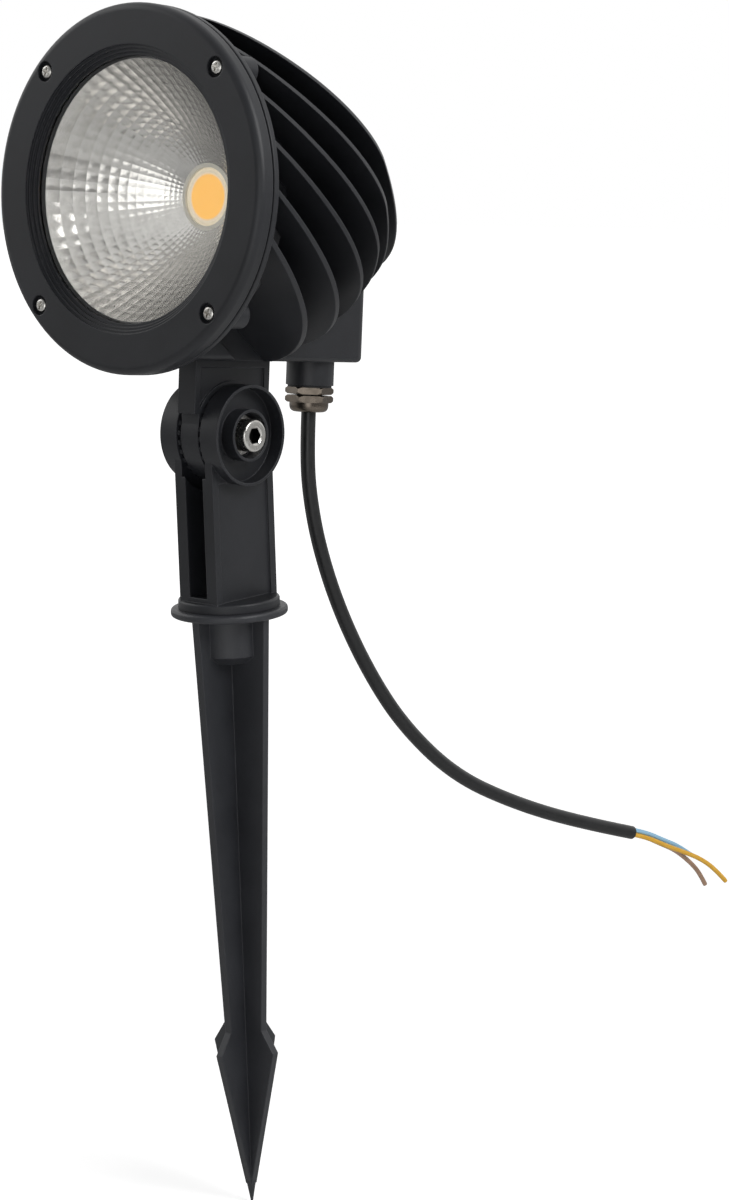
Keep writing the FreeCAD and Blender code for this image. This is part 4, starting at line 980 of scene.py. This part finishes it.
class SPOTLIGHT_OT_stage(bpy.types.Operator):
    """Lay the pale floor and set the soft studio light."""

    bl_idname = "spotlight.stage"
    bl_label = "Stage"

    def execute(self, context):
        settings = context.scene.spotlight_stage
        self.floor(context, settings)
        self.sky(context, settings)
        powers = (settings.key_power, settings.fill_power, settings.window_power)
        for (name, origin, target, size), power in zip(LIGHTS, powers):
            self.light(context, name, origin, target, size, power)
        context.scene.view_settings.view_transform = "Standard"
        return {"FINISHED"}

    def floor(self, context, settings):
        side = np.array([-1.0, 1.0]) * FLOOR_HALF_WIDTH
        x, y = np.meshgrid(side, side, indexing="ij")
        points = np.stack([x, y, np.full_like(x, settings.floor_height)], axis=-1)
        mesh = bpy.data.meshes.new("floor")
        mesh.from_pydata(points.reshape(-1, 3), [], [(0, 2, 3, 1)])
        floor = bpy.data.objects.new("floor", mesh)
        context.scene.collection.objects.link(floor)
        material = bpy.data.materials.new("pale_floor")
        material.use_nodes = True
        tree = material.node_tree
        surface = tree.nodes["Principled BSDF"]
        surface.inputs["Base Color"].default_value = (*settings.floor_color, 1.0)
        surface.inputs["Roughness"].default_value = 0.9
        surface.inputs["Specular IOR Level"].default_value = 0.0
        seen = tree.nodes.new("ShaderNodeLightPath")
        glow = tree.nodes.new("ShaderNodeEmission")
        added = tree.nodes.new("ShaderNodeAddShader")
        place_of = tree.nodes.new("ShaderNodeTexCoord")
        away = tree.nodes.new("ShaderNodeVectorMath")
        away.operation = "LENGTH"
        tree.links.new(place_of.outputs["Object"], away.inputs[0])
        paler = ranged(tree, away.outputs["Value"], *GLOW_REACH, settings.floor_glow, settings.far_glow)
        shown = math_node(tree, "MULTIPLY", paler, seen.outputs["Is Camera Ray"])
        tree.links.new(shown, glow.inputs["Strength"])
        tree.links.new(surface.outputs[0], added.inputs[0])
        tree.links.new(glow.outputs[0], added.inputs[1])
        tree.links.new(added.outputs[0], tree.nodes["Material Output"].inputs["Surface"])
        mesh.materials.append(material)

    def sky(self, context, settings):
        world = bpy.data.worlds.new("studio")
        world.use_nodes = True
        tree = world.node_tree
        background = tree.nodes["Background"]
        background.inputs["Color"].default_value = (1.0, 1.0, 1.0, 1.0)
        seen = tree.nodes.new("ShaderNodeLightPath")
        clear = math_node(tree, "MAXIMUM", seen.outputs["Is Camera Ray"], seen.outputs["Is Transmission Ray"])
        facing = tree.nodes.new("ShaderNodeVectorMath")
        facing.operation = "DOT_PRODUCT"
        facing.inputs[1].default_value = BACKDROP_WAY
        way = tree.nodes.new("ShaderNodeTexCoord")
        tree.links.new(way.outputs["Generated"], facing.inputs[0])
        behind = ranged(tree, facing.outputs["Value"], -0.5, 0.6, settings.room_strength, 1.0)
        mirrored = math_node(tree, "MAXIMUM", seen.outputs["Is Glossy Ray"], settings.sky_strength)
        shown = math_node(tree, "MULTIPLY", mirrored, behind)
        tree.links.new(math_node(tree, "MAXIMUM", clear, shown), background.inputs["Strength"])
        context.scene.world = world

    def light(self, context, name, origin, target, size, power):
        data = bpy.data.lights.new(name, "AREA")
        data.shape = "DISK"
        data.size = size
        data.energy = power
        lamp_object = bpy.data.objects.new(name, data)
        aim = (Vector(target) - Vector(origin)).to_track_quat("-Z", "Y").to_matrix().to_4x4()
        lamp_object.matrix_world = Matrix.Translation(origin) @ aim
        context.scene.collection.objects.link(lamp_object)


class SPOTLIGHT_PT_panel(bpy.types.Panel):
    """Sizes, colours and the steps that build the spotlight."""

    bl_idname = "SPOTLIGHT_PT_panel"
    bl_label = "Spotlight"
    bl_space_type = "VIEW_3D"
    bl_region_type = "UI"
    bl_category = "Spotlight"

    def draw(self, context):
        for name in ("spotlight_look", "spotlight_reflector", "spotlight_lead", "spotlight_stage"):
            settings = getattr(context.scene, name)
            box = self.layout.box()
            for label in settings.bl_rna.properties.keys():
                if label not in ("rna_type", "name"):
                    box.prop(settings, label)
        for step in STEPS:
            self.layout.operator(step.bl_idname)


SETTINGS = {
    "spotlight_look": SpotlightLook,
    "spotlight_reflector": SpotlightReflector,
    "spotlight_lead": SpotlightLead,
    "spotlight_stage": SpotlightStage,
}
STEPS = (
    SPOTLIGHT_OT_camera,
    SPOTLIGHT_OT_lead,
    SPOTLIGHT_OT_reflector,
    SPOTLIGHT_OT_source,
    SPOTLIGHT_OT_bolt,
    SPOTLIGHT_OT_gland,
    SPOTLIGHT_OT_plain_parts,
    SPOTLIGHT_OT_stage,
)
CLASSES = (*SETTINGS.values(), *STEPS, SPOTLIGHT_PT_panel)


def register():
    for item in CLASSES:
        bpy.utils.register_class(item)
    for name, kind in SETTINGS.items():
        setattr(bpy.types.Scene, name, PointerProperty(type=kind))


def unregister():
    for name in SETTINGS:
        delattr(bpy.types.Scene, name)
    for item in reversed(CLASSES):
        bpy.utils.unregister_class(item)


def main():
    register()
    build_materials(bpy.context.scene.spotlight_look)
    bpy.ops.spotlight.camera()
    bpy.ops.spotlight.lead()
    bpy.ops.spotlight.reflector()
    bpy.ops.spotlight.source()
    bpy.ops.spotlight.bolt()
    bpy.ops.spotlight.gland()
    bpy.ops.spotlight.plain_parts()
    bpy.ops.spotlight.stage()


if __name__ == "__main__":
    main()
